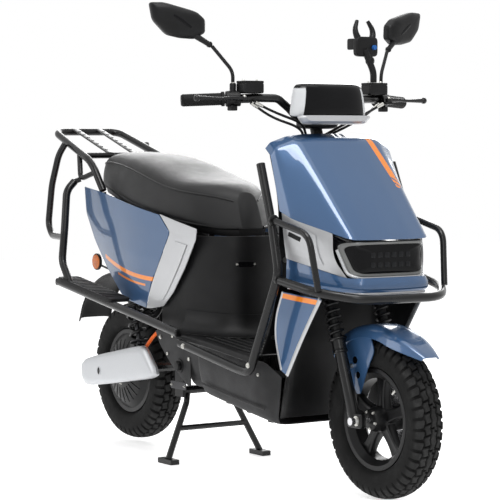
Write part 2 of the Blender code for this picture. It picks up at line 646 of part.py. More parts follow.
def build_seat():
    """The seat, lofted through sections along its length."""
    rings = []
    spine = [(-0.690, 0.058, 0.790, 0.838, 0.0), (-0.672, 0.094, 0.772, 0.862, 0.0),
             (-0.620, 0.104, 0.7635, 0.874, 0.0), (-0.500, 0.134, 0.741, 0.872, 0.0),
             (-0.400, 0.152, 0.722, 0.857, 0.0), (-0.310, 0.159, 0.7045, 0.834, 0.0),
             (-0.220, 0.158, 0.690, 0.808, 0.05), (-0.130, 0.146, 0.675, 0.797, 0.15),
             (-0.070, 0.112, 0.666, 0.791, 0.25), (-0.020, 0.072, 0.659, 0.782, 0.32),
             (0.008, 0.034, 0.662, 0.762, 0.35)]
    for x, w, low_z, top_z, lean in spine:
        ring = []
        mid = low_z + 0.42 * (top_z - low_z)
        for y, z in ((-0.96, low_z), (-1.0, low_z + 0.012), (-1.0, mid),
                (-0.86, mid + 0.6 * (top_z - mid)), (-0.55, top_z - 0.006),
                     (0.0, top_z), (0.55, top_z - 0.006), (0.86, mid + 0.6 * (top_z - mid)), (1.0, mid),
                     (1.0, low_z + 0.012),
                     (0.96, low_z)):
            ring.append((x - lean * (z - low_z), y * w, z))
        rings.append(ring)
    return pivot_at(loft("seat_cushion", rings, "seat_vinyl"), (SEAT_HINGE_X, 0, SEAT_HINGE_Z))


def build_steering():
    """The steering stem with its crown, fork tubes and bar clamp."""
    base = steer_point(CROWN_Z)
    stem = turned("steering_stem", base, STEER_DIR, [(0, STEM_R), (0.400, STEM_R)], "chassis_paint", 14,
            ring=False)
    crown = []
    for s in (-1.0, -0.9, 0.9, 1.0):
        reach = 0.022 if abs(s) > 0.95 else 0.030
        ring = []
        for back, up in ((-reach - 0.006, -0.014), (reach - 0.006, -0.014), (reach - 0.006, 0.014),
                (-reach - 0.006, 0.014)):
            here = base + STEER_DIR * up
            ring.append((here.x - back * math.cos(RAKE), s * (LEG_Y + 0.022),
                    here.z - back * math.sin(RAKE)))
        crown.append(ring)
    parts = [loft("crown", crown, "chassis_paint", smooth=False)]
    for s in (-1, 1):
        high = leg_point(CROWN_Z + 0.006, s * LEG_Y)
        low = leg_point(LEG_TOP - 0.092, s * LEG_Y)
        parts.append(rod("tube", high, low, STANCHION_R, "chassis_paint", 12))
    head = steer_point(CROWN_Z) + STEER_DIR * 0.385
    parts.append(block("clamp", (head.x - 0.024, -0.030, head.z - 0.022),
            (head.x + 0.024, 0.030, head.z + 0.022), "chassis_paint"))
    stem = combine(stem, parts)
    stem = cut(stem, [rod("bar_bore", (head.x, -0.05, head.z), (head.x, 0.05, head.z), BAR_R + GAP,
            "chassis_paint", 14)])
    return pivot_at(stem, base), head


GRIP_IN = Vector((0.260, -0.264, 1.014))
GRIP_OUT = Vector((0.214, -BAR_HALF, 1.010))
GRIP_DIR = (GRIP_OUT - GRIP_IN).normalized()


def flip(vec):
    """The same point on the other side."""
    return Vector((vec.x, -vec.y, vec.z))


def build_bars(head):
    """The handlebar, grips, controls, levers and mirrors."""
    half = [GRIP_OUT - GRIP_DIR * 0.004, GRIP_IN - GRIP_DIR * 0.085, (0.318, -0.130, 1.016),
            (0.306, -0.085, 0.990),
            (head.x, -0.050, head.z), (head.x, -0.032, head.z)]
    line = [tuple(p) for p in half] + mirrored([tuple(p) for p in reversed(half)])
    bar = sweep("handlebar", rounded(line, 0.030), BAR_R, "black_tube", 8)
    pivot_at(bar, steer_point(CROWN_Z))
    ring = [(0.0, BAR_R + 0.0006), (0.0, 0.019), (0.006, 0.019), (0.008, GRIP_R),
            (GRIP_LEN - 0.004, GRIP_R),
            (GRIP_LEN, GRIP_R - 0.003), (GRIP_LEN, BAR_R + 0.0006)]
    start = GRIP_OUT - GRIP_DIR * (GRIP_LEN - 0.002)
    right = turned("throttle_grip", start, GRIP_DIR, ring, "grip_rubber", 12)
    pivot_at(right, start)
    left = turned("grip_left", flip(start), flip(GRIP_DIR), ring, "grip_rubber", 12)
    pivot_at(left, steer_point(CROWN_Z))

    inner = start - GRIP_DIR * 0.004
    perch = turned("control_right", inner, -GRIP_DIR, [(0, BAR_R + GAP), (0, 0.0205), (0.038, 0.0205),
            (0.038, BAR_R + GAP)],
                   "black_plastic", 14)
    mid = inner - GRIP_DIR * 0.022
    box_low = mid + Vector((0.000, 0.004, 0.012))
    parts = [block("pump", (box_low.x, box_low.y, box_low.z),
            (box_low.x + 0.044, box_low.y + 0.062, box_low.z + 0.034), "black_plastic")]
    ear = mid + Vector((0.018, 0.004, -0.006))
    parts.append(block("ear", (ear.x - 0.012, ear.y - 0.012, ear.z - 0.006),
            (ear.x + 0.036, ear.y + 0.014, ear.z + 0.000), "black_plastic"))
    parts.append(rod("mirror_boss", mid + Vector((0, -0.004, 0.010)), mid + Vector((0, -0.004, 0.040)),
            0.0085, "black_plastic", 10))
    top = mid + Vector((0, -0.004, 0.038))
    ball = Vector((0.243, -0.284, 1.150))
    parts.append(sweep("mirror_arm", rounded([top, top + Vector((0, 0, 0.032)), ball], 0.02), 0.0048,
            "black_plastic", 8))
    right = combine(perch, parts)
    right = cut(right, [rod("bore", mid - GRIP_DIR * 0.1, mid + GRIP_DIR * 0.1, BAR_R + GAP,
            "black_plastic", 14)])
    left = across_twin(right, "control_left")
    pivot_at(right, steer_point(CROWN_Z))
    pivot_at(left, steer_point(CROWN_Z))

    hub = ear + Vector((0.026, -0.001, 0.0006))
    lever = rod("brake_lever_right", hub, hub + Vector((0, 0, 0.009)), 0.009, "black_tube", 12)
    tip = Vector((0.300, -0.366, hub.z + 0.005))
    blade = [hub + Vector((0, -0.004, 0.005)), hub + Vector((-0.004, -0.040, 0.006)),
            (hub + tip) / 2 + Vector((0.004, 0, 0.001)), tip]
    parts = [sweep("blade", blade, 0.0055, "black_tube", 8)]
    parts.append(turned("ball", tip + Vector((0, 0.009, 0)), (0, -1, 0),
            [(0, 0.003), (0.004, 0.0075), (0.009, 0.009), (0.014, 0.0075), (0.018, 0.003)],
                        "black_tube", 10, ring=False))
    lever = combine(lever, parts)
    twin = across_twin(lever, "brake_lever_left")
    pivot_at(lever, hub)
    pivot_at(twin, flip(hub))

    wide = Vector((-0.036, -0.120, 0.014)).normalized()
    up = Vector((0.05, 0.03, 1.0))
    up = (up - wide * up.dot(wide)).normalized()
    ahead = up.cross(wide).normalized()
    if ahead.x < 0:
        ahead = -ahead
    centre = Vector((0.205, -0.366, 1.207))
    outline = [(-0.050, -0.034), (-0.012, -0.036), (0.026, -0.032), (0.066, 0.001), (0.080, 0.045),
               (0.042, 0.050), (-0.046, 0.037), (-0.072, 0.020), (-0.076, -0.014)]
    rings = []
    for depth, size in ((-0.012, 0.97), (-0.010, 1.0), (0.004, 1.0), (0.014, 0.86), (0.020, 0.60)):
        rings.append([centre + wide * (u * size) + up * (v * size) + ahead * depth for u, v in outline])
    headshell = loft("mirror_head_right", rings, "black_plastic")
    neck_start = ball + (centre - ball).normalized() * 0.0021
    neck = sweep("neck", [neck_start, centre + wide * -0.040 + up * -0.020 + ahead * 0.004], 0.008,
            "black_plastic", 8)
    headshell = combine(headshell, [neck])
    twin = across_twin(headshell, "mirror_head_left")
    pivot_at(headshell, ball)
    pivot_at(twin, flip(ball))
    return mid


def build_pod(head):
    """The dash pod, its stay and its lower lip."""
    rings = []
    for x, w_top, w_low, z_top, z_low in ((0.345, 0.080, 0.090, 1.040, 0.978),
            (0.372, 0.102, 0.114, 1.054, 0.970),
                                          (0.392, 0.101, 0.117, 1.053, 0.9705),
                                          (0.400, 0.092, 0.106, 1.045, 0.974)):
        rings.append([(x, -w_low, z_low), (x, w_low, z_low), (x, w_top + 0.016, z_top - 0.020),
                      (x, w_top, z_top - 0.004), (x, 0.0, z_top + 0.002), (x, -w_top, z_top - 0.004),
                      (x, -w_top - 0.016, z_top - 0.020)])
    pod = loft("instrument_pod", rings, "black_plastic")
    stay = sweep("stay", [(head.x + 0.0246, 0, head.z + 0.004), (head.x + 0.0400, 0, head.z + 0.004),
            (0.352, 0, 1.000)], 0.012, "black_plastic", 8)
    rings = []
    for x, w, z_top, z_low in ((0.350, 0.082, 0.9720, 0.955), (0.378, 0.112, 0.9720, 0.948),
            (0.394, 0.114, 0.9720, 0.9505), (0.404, 0.100, 0.9720, 0.957)):
        rings.append([(x, -w * 0.86, z_low), (x, w * 0.86, z_low), (x, w, z_top - 0.006),
                (x, w * 0.98, z_top), (x, -w * 0.98, z_top), (x, -w, z_top - 0.006)])
    trim = loft("trim", rings, "black_plastic")
    pivot_at(combine(pod, [stay, trim]), steer_point(CROWN_Z))


def build_holder():
    """The phone holder: an arm, a back plate and claws."""
    arm = [Vector((0.298, 0.196, 1.0620)), Vector((0.298, 0.196, 1.090)), Vector((0.285, 0.176, 1.150))]
    body = sweep("phone_holder", rounded(arm, 0.01), 0.009, "black_plastic", 8)
    parts = [block("back", (0.270, 0.150, 1.130), (0.286, 0.218, 1.192), "black_plastic")]
    for y in (0.150, 0.212):
        parts.append(block("claw", (0.240, y, 1.150), (0.272, y + 0.006, 1.180), "black_plastic"))
    for y, bow in ((0.162, -0.010), (0.206, 0.010)):
        finger = [Vector((0.278, y, 1.180)), Vector((0.268, y + bow, 1.206)),
                  Vector((0.262, y + bow * 0.2, 1.232))]
        parts.append(sweep("claw_top", rounded(finger, 0.012), 0.0048, "black_plastic", 8))
    return pivot_at(combine(body, parts), steer_point(CROWN_Z))


def build_cables(mid):
    """The control cables from both levers to the head tube."""
    knot = Vector((0.289, 0.0, 0.910))
    body = sweep("control_cables", rounded([knot + Vector((0.0, -0.034, 0.0)), knot + Vector((0.0, 0.034,
            0.0))], 0.01), 0.007, "cable_black", 6)
    parts = []
    for s in (-1, 1):
        for shift, drop in ((0.0, 0.0), (0.018, 0.012)):
            line = [(mid.x + 0.034 + shift, s * (abs(mid.y) - 0.030), mid.z - 0.0105),
                    (mid.x + 0.040 + shift, s * 0.150, 0.968 + drop),
                    (0.338 + shift * 0.4, s * 0.070, 0.940 + drop),
                    (knot.x, s * (0.026 - shift * 0.6), knot.z)]
            parts.append(sweep("hose", rounded(line, 0.03), 0.0035, "cable_black", 6))
    return pivot_at(combine(body, parts), steer_point(CROWN_Z))


def helix(name, top, low, mean, wire, curls, slot, per=8, sides=5):
    """A coil spring with short straight ends between two points."""
    top = Vector(top)
    run = Vector(low) - top
    axis, one, two = frame_of(run)
    length = run.length
    steps = int(curls * per)
    pts = []
    lead = wire * 1.2
    for i in range(steps + 1):
        turn = 2 * math.pi * i / per
        along = lead + (length - 2 * lead) * i / steps
        pts.append(top + axis * along + (one * math.cos(turn) + two * math.sin(turn)) * mean)
    pitch = (length - 2 * lead) / curls
    print(name, "least gap between curls (mm):", round((pitch - 2 * wire) * 1000, 3))
    return sweep(name, pts, wire, slot, sides)


def build_fork():
    """The sliding legs, springs, axle, fender and caliper."""
    for name, s in (("right", -1), ("left", 1)):
        top = leg_point(LEG_TOP, s * LEG_Y)
        low = leg_point(TYRE_R - 0.010, s * LEG_Y)
        axis = (low - top).normalized()
        length = (low - top).length
        bore = STANCHION_R + GAP
        deep = length - 0.062
        leg = turned("fork_leg_" + name, top, axis, [(0, bore), (0, 0.0235), (0.005, 0.0235), (0.005,
                LEG_R), (length, LEG_R), (length, 0.004),
                                                    (deep, 0.004), (deep, bore)], "black_tube", 14)
        tools = [block("lug", (FRONT_AXLE[0] - 0.042, s * LEG_Y - 0.010, TYRE_R - 0.020),
                (FRONT_AXLE[0] + 0.018, s * LEG_Y + 0.010, TYRE_R + 0.020), "black_tube")]
        if s > 0:
            tools.append(block("caliper", (0.530, 0.043, 0.225), (0.566, 0.0635, 0.290), "black_tube"))
        leg = combine(leg, tools)
        cutters = [rod("axle_bore", (FRONT_AXLE[0], s * 0.04, TYRE_R), (FRONT_AXLE[0], s * 0.13, TYRE_R),
                0.0065, "black_tube", 12)]
        if s > 0:
            cutters.append(turned("slot", (FRONT_AXLE[0], 0.0495, TYRE_R), (0, 1, 0),
                    [(0, 0.028), (0, 0.0885), (0.0070, 0.0885), (0.0070, 0.028)], "black_tube", 32))
        pivot_at(cut(leg, cutters), steer_point(CROWN_Z))
        high = leg_point(CROWN_Z - 0.020, s * LEG_Y)
        seat = leg_point(LEG_TOP - 0.0005, s * LEG_Y)
        helix("fork_spring_" + name, high, seat, 0.0190, 0.0028, 10, "spring_black")
    turned("front_axle", (FRONT_AXLE[0], -0.108, TYRE_R), (0, 1, 0),
            [(0, 0.010), (0.011, 0.010), (0.011, 0.006), (0.205, 0.006), (0.205, 0.010), (0.216, 0.010)],
           "steel", 12, ring=False)

    rows = []
    for deg in range(45, 139, 9):
        a = math.radians(deg)
        radius = 0.2360
        wide = 0.052 if 50 < deg < 130 else 0.047
        row = []
        for t, lower in ((-1.0, 0.022), (-0.92, 0.006), (-0.6, 0.0), (0.0, -0.002), (0.6, 0.0),
                (0.92, 0.006), (1.0, 0.022)):
            r = radius - lower
            row.append((FRONT_AXLE[0] + r * math.cos(a), wide * t, TYRE_R + r * math.sin(a)))
        rows.append(row)
    fender = shell("front_fender", rows, -PANEL, "blue_paint")
    parts = []
    for s in (-1, 1):
        foot = [(0.520, 0.310), (0.550, 0.300), (0.585, 0.330)]
        if s < 0:
            foot = [(0.528, 0.320), (0.562, 0.264), (0.575, 0.264), (0.597, 0.335)]
        plate = []
        for y in (0.0480, 0.0510):
            edge = [(0.500, 0.360)] + foot + [(0.600, 0.420), (0.560, 0.418)]
            plate.append([(px, s * y, pz) for px, pz in edge])
        parts.append(loft("stay", plate, "blue_paint", smooth=False))
        bolt = leg_point(0.335, s * 0.0495)
        parts.append(rod("boss", bolt, bolt + Vector((0, s * 0.0107, 0)), 0.0060, "blue_paint", 8))
    fender = combine(fender, parts)
    pivot_at(fender, steer_point(CROWN_Z))


def build_tyre(name, axle, rim, width, slot="tyre_rubber"):
    """A tyre with staggered tread blocks on its crown."""
    half = width / 2
    profile = [(-half * 0.66, rim + 0.0007), (-half, rim + 0.030), (-half * 0.90, TYRE_R - 0.022),
            (-half * 0.72, TYRE_R - 0.009),
               (-half * 0.36, TYRE_R - 0.002), (0.0, TYRE_R), (half * 0.36, TYRE_R - 0.002),
               (half * 0.72, TYRE_R - 0.009), (half * 0.90, TYRE_R - 0.022),
               (half, rim + 0.030), (half * 0.66, rim + 0.0007)]
    segments = TREAD_BLOCKS * 2
    rows = []
    for i in range(segments):
        turn = 2 * math.pi * (i + 0.5) / segments - math.pi / 2
        row = []
        for j, (along, radius) in enumerate(profile):
            groove = 2 < j < 8 and j != 5 and (i + (j > 5)) % 2 == 0
            r = radius - (TREAD_DEPTH if groove else 0.0)
            row.append((axle[0] + r * math.cos(turn), along, axle[1] + r * math.sin(turn)))
        rows.append(row)
    made = loft(name, rows, slot, loop=True)
    return pivot_at(made, (axle[0], 0, axle[1]))


def build_front_wheel():
    """The five-spoke rim, the disc and the front tyre."""
    x, z = FRONT_AXLE
    half = TYRE_W_FRONT / 2
    rim = turned("front_rim", (x, 0, z), (0, 1, 0), [(-half * 0.74, RIM_R_FRONT), (-half * 0.74,
            RIM_R_FRONT - 0.012), (-half * 0.4, RIM_R_FRONT - 0.026), (half * 0.4, RIM_R_FRONT - 0.026),
                                                     (half * 0.74, RIM_R_FRONT - 0.012),
                                                     (half * 0.74, RIM_R_FRONT),
                                                     (half * 0.50, RIM_R_FRONT),
                                                     (half * 0.30, RIM_R_FRONT - 0.012),
                                                     (-half * 0.30, RIM_R_FRONT - 0.012),
                                                     (-half * 0.50, RIM_R_FRONT)], "rim_black", 30)
    hub = turned("hub", (x, 0, z), (0, 1, 0), [(-0.046, 0.0068), (-0.046, 0.026), (-0.030, 0.032),
            (0.046, 0.0316), (0.056, 0.0316), (0.056, 0.0068)], "rim_black", 20)
    parts = [hub]
    for k in range(5):
        turn = math.radians(90 + 72 * k)
        out = Vector((math.cos(turn), 0, math.sin(turn)))
        flat = Vector((-math.sin(turn), 0, math.cos(turn)))
        middle = Vector((x, 0, z))
        rings = []
        for reach, wide, deep in ((0.024, 0.017, 0.017), (RIM_R_FRONT - 0.070, 0.012, 0.012),
                (RIM_R_FRONT - 0.022, 0.019, 0.012)):
            here = middle + out * reach
            rings.append([here - flat * wide - Vector((0, deep, 0)),
                    here + flat * wide - Vector((0, deep, 0)), here + flat * wide + Vector((0, deep, 0)),
                    here - flat * wide + Vector((0, deep, 0))])
        parts.append(loft("spoke", rings, "rim_black", smooth=False))
    pivot_at(combine(rim, parts), (x, 0, z))
    disc = turned("brake_disc", (x, 0.051, z), (0, 1, 0),
            [(0, 0.0322), (0, 0.085), (0.004, 0.085), (0.004, 0.0322)], "steel", 28)
    pivot_at(disc, (x, 0, z))
    build_tyre("front_tyre", FRONT_AXLE, RIM_R_FRONT, TYRE_W_FRONT)


def build_rear_wheel():
    """The hub motor and the rear tyre."""
    x, z = REAR_AXLE
    half = TYRE_W_REAR / 2
    profile = [(-0.062, 0.0086), (-0.062, 0.050), (-0.054, 0.078), (-0.046, 0.096),
            (-half * 0.74, RIM_R_REAR - 0.014), (-half * 0.74, RIM_R_REAR), (-half * 0.5, RIM_R_REAR),
               (-half * 0.3, RIM_R_REAR - 0.012), (half * 0.3, RIM_R_REAR - 0.012),
               (half * 0.5, RIM_R_REAR), (half * 0.74, RIM_R_REAR), (half * 0.74, RIM_R_REAR - 0.014),
               (0.046, 0.096), (0.054, 0.078), (0.062, 0.050), (0.062, 0.0086)]
    pivot_at(turned("rear_hub_motor", (x, 0, z), (0, 1, 0), profile, "rim_black", 28), (x, 0, z))
    build_tyre("rear_tyre", REAR_AXLE, RIM_R_REAR, TYRE_W_REAR)


def build_swingarm():
    """The swingarm, the side cover and the motor lead."""
    x, z = REAR_AXLE
    arm = rod("swingarm", (PIVOT_X, -0.092, PIVOT_Z), (PIVOT_X, 0.092, PIVOT_Z), 0.015, "black_tube", 14)
    parts = []
    for s in (-1, 1):
        line = [(PIVOT_X, s * 0.072, PIVOT_Z), (-0.255, s * 0.074, 0.264), (-0.350, s * ARM_Y, 0.252),
                (x - 0.020, s * ARM_Y, z)]
        parts.append(sweep("arm", rounded(line, 0.02), 0.013, "black_tube"))
        parts.append(block("dropout", (x - 0.030, s * (ARM_Y - 0.006), z - 0.024),
                (x + 0.040, s * (ARM_Y + 0.006), z + 0.024), "black_tube"))
        parts.append(block("shock_tab", (SHOCK_LOW[0] - 0.012, s * 0.1095, 0.240),
                (SHOCK_LOW[0] + 0.012, s * 0.1155, SHOCK_LOW[1] + 0.012), "black_tube"))
        parts.append(rod("shock_pin", (SHOCK_LOW[0], s * 0.0745, SHOCK_LOW[1]),
                (SHOCK_LOW[0], s * 0.112, SHOCK_LOW[1]), 0.0050, "black_tube", 10))
    parts.append(sweep("brace", [(-0.245, -0.074, 0.265), (-0.245, 0.074, 0.265)], 0.010, "black_tube"))
    parts.append(rod("axle", (x, -0.1208, z), (x, 0.1208, z), 0.0080, "black_tube", 12))
    arm = combine(arm, parts)
    pivot_at(arm, (PIVOT_X, 0, PIVOT_Z))

    edge = [(-0.724, 0.228), (-0.720, 0.188), (-0.694, 0.168), (-0.538, 0.190), (-0.322, 0.224),
            (-0.286, 0.238),
            (-0.293, 0.254), (-0.346, 0.309), (-0.376, 0.317), (-0.626, 0.267), (-0.698, 0.250)]
    centre = Vector((sum(p[0] for p in edge) / len(edge), 0, sum(p[1] for p in edge) / len(edge)))
    rings = []
    for y, size in ((-0.1215, 1.0), (-0.132, 1.0), (-0.139, 0.94), (-0.141, 0.84)):
        rings.append([(centre.x + (px - centre.x) * size, y,
                centre.z + (pz - centre.z) * (size if size == 1 else size - 0.12)) for px, pz in edge])
    cover = loft("hub_cover", rings, "cover_silver")
    pivot_at(cover, (PIVOT_X, 0, PIVOT_Z))
    line = [(-0.285, -0.1150, 0.372), (-0.330, -0.1150, 0.346), (-0.372, -0.1150, 0.312),
            (-0.402, -0.1150, 0.2640)]
    cable = sweep("motor_cable", rounded(line, 0.02), 0.0050, "cable_orange", 8)
    pivot_at(cable, (PIVOT_X, 0, PIVOT_Z))


def build_shocks():
    """Two rear shocks, each a body, a rod and a spring."""
    top2 = Vector((SHOCK_TOP[0], 0, SHOCK_TOP[1]))
    low2 = Vector((SHOCK_LOW[0], 0, SHOCK_LOW[1]))
    axis = (low2 - top2).normalized()
    length = (low2 - top2).length
    for name, s in (("right", -1), ("left", 1)):
        shift = Vector((0, s * SHOCK_Y, 0))
        top = top2 + shift
        low = low2 + shift
        body = turned("shock_body_" + name, top + axis * 0.012, axis,
                [(-0.004, 0.001), (-0.004, 0.0095), (0.004, 0.0095), (0.004, 0.0270), (0.009, 0.0270),
                (0.009, 0.0165),
                       (0.115, 0.0165), (0.115, 0.0080), (0.030, 0.0080), (0.030, 0.001)], "black_tube", 12)
        eye = rod("eye", top - Vector((0, 0.012, 0)), top + Vector((0, 0.012, 0)), 0.013, "black_tube", 12)
        body = combine(body, [eye])
        body = cut(body, [rod("bore", top - Vector((0, 0.03, 0)), top + Vector((0, 0.03, 0)), 0.0060,
                "black_tube", 12)])
        pivot_at(body, top2)
        stem = turned("shock_rod_" + name, low, -axis, [(0.010, 0.0072), (0.018, 0.0072), (0.018,
                0.0270), (0.023, 0.0270), (0.023, 0.0072), (length - 0.073, 0.0072)], "steel", 14,
                ring=False)
        eye = rod("eye", low - Vector((0, 0.012, 0)), low + Vector((0, 0.012, 0)), 0.0125, "steel", 12)
        stem = combine(stem, [eye])
        stem = cut(stem, [rod("bore", low - Vector((0, 0.03, 0)), low + Vector((0, 0.03, 0)), 0.0070,
                "steel", 12)])
        pivot_at(stem, top2)
        spring = helix("shock_spring_" + name, top + axis * 0.0215, low - axis * 0.0235, 0.0218, 0.0034,
                7, "spring_black")
        pivot_at(spring, top2)


def main():
    """Builds every piece and moves the whole over the origin."""
    for old in list(bpy.data.objects):
        bpy.data.objects.remove(old)
    build_frame()
    build_front_panels()
    build_inner_panels()
    build_rear_panels()
    build_rack()
    build_guards()
    build_cage()
    build_stand()
    build_seat()
    _, head = build_steering()
    mid = build_bars(head)
    build_pod(head)
    build_holder()
    build_cables(mid)
    build_fork()
    build_front_wheel()
    build_rear_wheel()
    build_swingarm()
    build_shocks()
    for made in bpy.context.scene.objects:
        made.location.x += ORIGIN_SHIFT


main()
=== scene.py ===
"""Dresses the moped scooter: smooth panels, tubes, tyres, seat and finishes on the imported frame.

Metres. +X is forward, +Y is the rider's left and +Z is up. Shapes are laid out from the point on
the ground midway between the axles and moved by SHIFT into the frame.
"""
import math

import bmesh
import bpy
import numpy as np
from mathutils import Matrix


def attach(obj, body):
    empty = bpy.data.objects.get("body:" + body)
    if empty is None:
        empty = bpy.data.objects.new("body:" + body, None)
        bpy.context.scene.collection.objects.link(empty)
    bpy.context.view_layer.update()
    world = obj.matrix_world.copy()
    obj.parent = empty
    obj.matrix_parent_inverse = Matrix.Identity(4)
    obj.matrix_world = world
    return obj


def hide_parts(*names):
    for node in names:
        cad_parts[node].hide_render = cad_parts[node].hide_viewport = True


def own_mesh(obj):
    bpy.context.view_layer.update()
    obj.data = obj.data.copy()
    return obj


bl_info = {
    "name": "Moped scooter",
    "version": (1, 0, 0),
    "blender": (4, 5, 0),
    "location": "3D View > Sidebar > Moped",
    "description": "Builds the moped scooter's bodywork, wheels, seat and finishes",
    "category": "Object",
}

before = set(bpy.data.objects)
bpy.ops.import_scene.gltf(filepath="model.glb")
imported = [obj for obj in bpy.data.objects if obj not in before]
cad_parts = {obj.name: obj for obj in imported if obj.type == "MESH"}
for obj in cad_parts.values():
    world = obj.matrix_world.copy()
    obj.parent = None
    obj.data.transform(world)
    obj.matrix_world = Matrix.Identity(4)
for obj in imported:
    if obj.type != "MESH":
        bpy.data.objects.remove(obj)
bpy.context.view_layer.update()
SHIFT = np.array([0.060, 0.0, 0.0])
MIRROR = np.array([1.0, -1.0, 1.0])
AHEAD, LEFT, UP = np.eye(3)
RIGHT = -LEFT
FULL_TURN = 2 * math.pi

RAKE = math.radians(20.0)
STEER_DIR = np.array([-math.sin(RAKE), 0.0, math.cos(RAKE)])
TYRE_R = 0.204
FRONT_AXLE = np.array([0.606, 0.0, TYRE_R])
REAR_AXLE = np.array([-0.606, 0.0, 0.216])
FRONT_RIM_R = 0.130
FRONT_TYRE_WIDE = 0.087
REAR_RIM_R = 0.126
REAR_TYRE_WIDE = 0.093
LEG_FOOT_X = 0.586
LEG_Y = 0.078
SHOCK_TOP = np.array([-0.520, 0.0, 0.540])
SHOCK_LOW = np.array([-0.450, 0.0, 0.300])
SHOCK_Y = 0.088
RAIL_Y = -0.226
RAIL_SLOPE = 0.152


def leg_point(z, y):
    """A point at height z on a fork leg's centre line, which leans back by the rake."""
    return np.array([LEG_FOOT_X - (z - TYRE_R) * math.tan(RAKE), y, z])


def unit(v):
    """Vectors scaled to length one along the last axis."""
    return v / np.maximum(np.linalg.norm(v, axis=-1, keepdims=True), 1e-12)


GRIP_OUT = np.array([0.214, -0.358, 1.010])
GRIP_IN = np.array([0.260, -0.264, 1.014])
GRIP_DIR = unit(GRIP_OUT - GRIP_IN)
GRIP_START = GRIP_OUT - GRIP_DIR * 0.110
PERCH = GRIP_START - GRIP_DIR * 0.026
MIRROR_BALL = np.array([0.243, -0.284, 1.150])
BAR_CLAMP = leg_point(0.600, 0.0) - 0.012 * AHEAD + STEER_DIR * 0.385


def eased(points, knots, samples, soft):
    """Values along a broken line, each the mean over a window of half width soft: corners become
    parabolas, straight runs and both ends stay where they are."""
    points = np.asarray(points, float)
    knots = np.asarray(knots, float)
    past = soft + 1e-6
    flat = points.reshape(len(points), -1)
    lead = flat[0] - (flat[1] - flat[0]) / (knots[1] - knots[0]) * past
    tail = flat[-1] + (flat[-1] - flat[-2]) / (knots[-1] - knots[-2]) * past
    line = np.vstack([[lead], flat, [tail]])
    where = np.concatenate([[knots[0] - past], knots, [knots[-1] + past]])
    window = np.asarray(samples)[:, None] + np.linspace(-soft, soft, 13)[None, :]
    out = np.stack([np.interp(window, where, column).mean(axis=1) for column in line.T], axis=1)
    return out.reshape((len(samples),) + points.shape[1:])


def evenly(points, count, soft):
    """count points along a broken line, taken evenly from corner to corner and eased."""
    last = len(points) - 1
    return eased(points, np.arange(last + 1), np.linspace(0, last, count), soft)


def round_loop(outline, count, soft):
    """count points round a closed outline, whose first corner is repeated at its end, eased."""
    outline = np.asarray(outline, float)
    lapped = np.concatenate([outline[-3:-1], outline, outline[1:3]])
    where = np.linspace(2, len(outline) + 1, count + 1)[:-1]
    return eased(lapped, np.arange(len(lapped)), where, soft)


def bent(points, soft, count):
    """count points along a broken line with its corners eased over soft metres of its length."""
    points = np.asarray(points, float)
    steps = np.linalg.norm(np.diff(points, axis=0), axis=1)
    knots = np.concatenate([[0.0], np.cumsum(steps)])
    soft = min(soft, 0.49 * steps.min()) if len(points) > 2 else 1e-4
    return eased(points, knots, np.linspace(0, knots[-1], count), soft)


def quilt(rows, nu, nv, su=0.45, sv=0.45):
    """A fine grid through a coarse one, eased along the rows and then along the columns."""
    fine = evenly(np.asarray(rows, float), nu, su).transpose(1, 0, 2)
    return evenly(fine, nv, sv).transpose(1, 0, 2)


def half_row(row):
    """A row of points from the right edge to the middle, and its mirror to the left edge."""
    row = np.asarray(row, float)
    return np.vstack([row * MIRROR, row[-2::-1]])


def round_turn(count):
    """count angles evenly round a full turn."""
    return np.linspace(0, FULL_TURN, count, endpoint=False)


def flat_cos(turn, power):
    """A cosine raised to a power with its sign kept: under one, a circle swells to a rounded box."""
    return np.sign(np.cos(turn)) * np.abs(np.cos(turn)) ** power


def flat_sin(turn, power):
    """A sine raised to a power with its sign kept."""
    return np.sign(np.sin(turn)) * np.abs(np.sin(turn)) ** power


def smooth(t):
    """The smooth step 3t^2 - 2t^3 of values between nought and one."""
    return t * t * (3 - 2 * t)


def oblong(x, width, height, rise, count, power, taper=0.0):
    """A rounded oblong square to X: flat cosine by flat sine, narrower at its foot by taper."""
    tall = flat_sin(round_turn(count), power)
    y = width * flat_cos(round_turn(count), power) * (1.0 - taper * (1 - tall))
    return np.column_stack([x + 0 * tall, y, rise + height * tall])


def spoke(angle, reach, y):
    """An offset of reach at an angle in the wheel's plane, y to the side."""
    return np.array([reach * math.cos(angle), y, reach * math.sin(angle)])


def quads(rows, cols, wrap_rows=False, wrap_cols=False):
    """Four-cornered faces of a grid of rows by columns, joined round where asked."""
    i = np.arange(rows if wrap_rows else rows - 1)[:, None]
    j = np.arange(cols if wrap_cols else cols - 1)[None, :]
    i2 = (i + 1) % rows
    j2 = (j + 1) % cols
    corners = [i * cols + j, i * cols + j2, i2 * cols + j2, i2 * cols + j]
    return np.stack([c + 0 * (i + j) for c in corners], axis=-1).reshape(-1, 4)


def closed_rings(rings, look=0):
    """A skin round a stack of closed rings (rows by points), with a flat end at each side."""
    rings = np.asarray(rings)
    rows, cols, _ = rings.shape
    faces = quads(rows, cols, wrap_cols=True).tolist()
    faces.append(list(range(cols))[::-1])
    faces.append([(rows - 1) * cols + j for j in range(cols)])
    return rings.reshape(-1, 3), faces, look


def hoop_of(rings, look=0):
    """A skin round a stack of closed rings whose last ring joins the first."""
    rings = np.asarray(rings)
    return rings.reshape(-1, 3), quads(rings.shape[0], rings.shape[1], True, True).tolist(), look


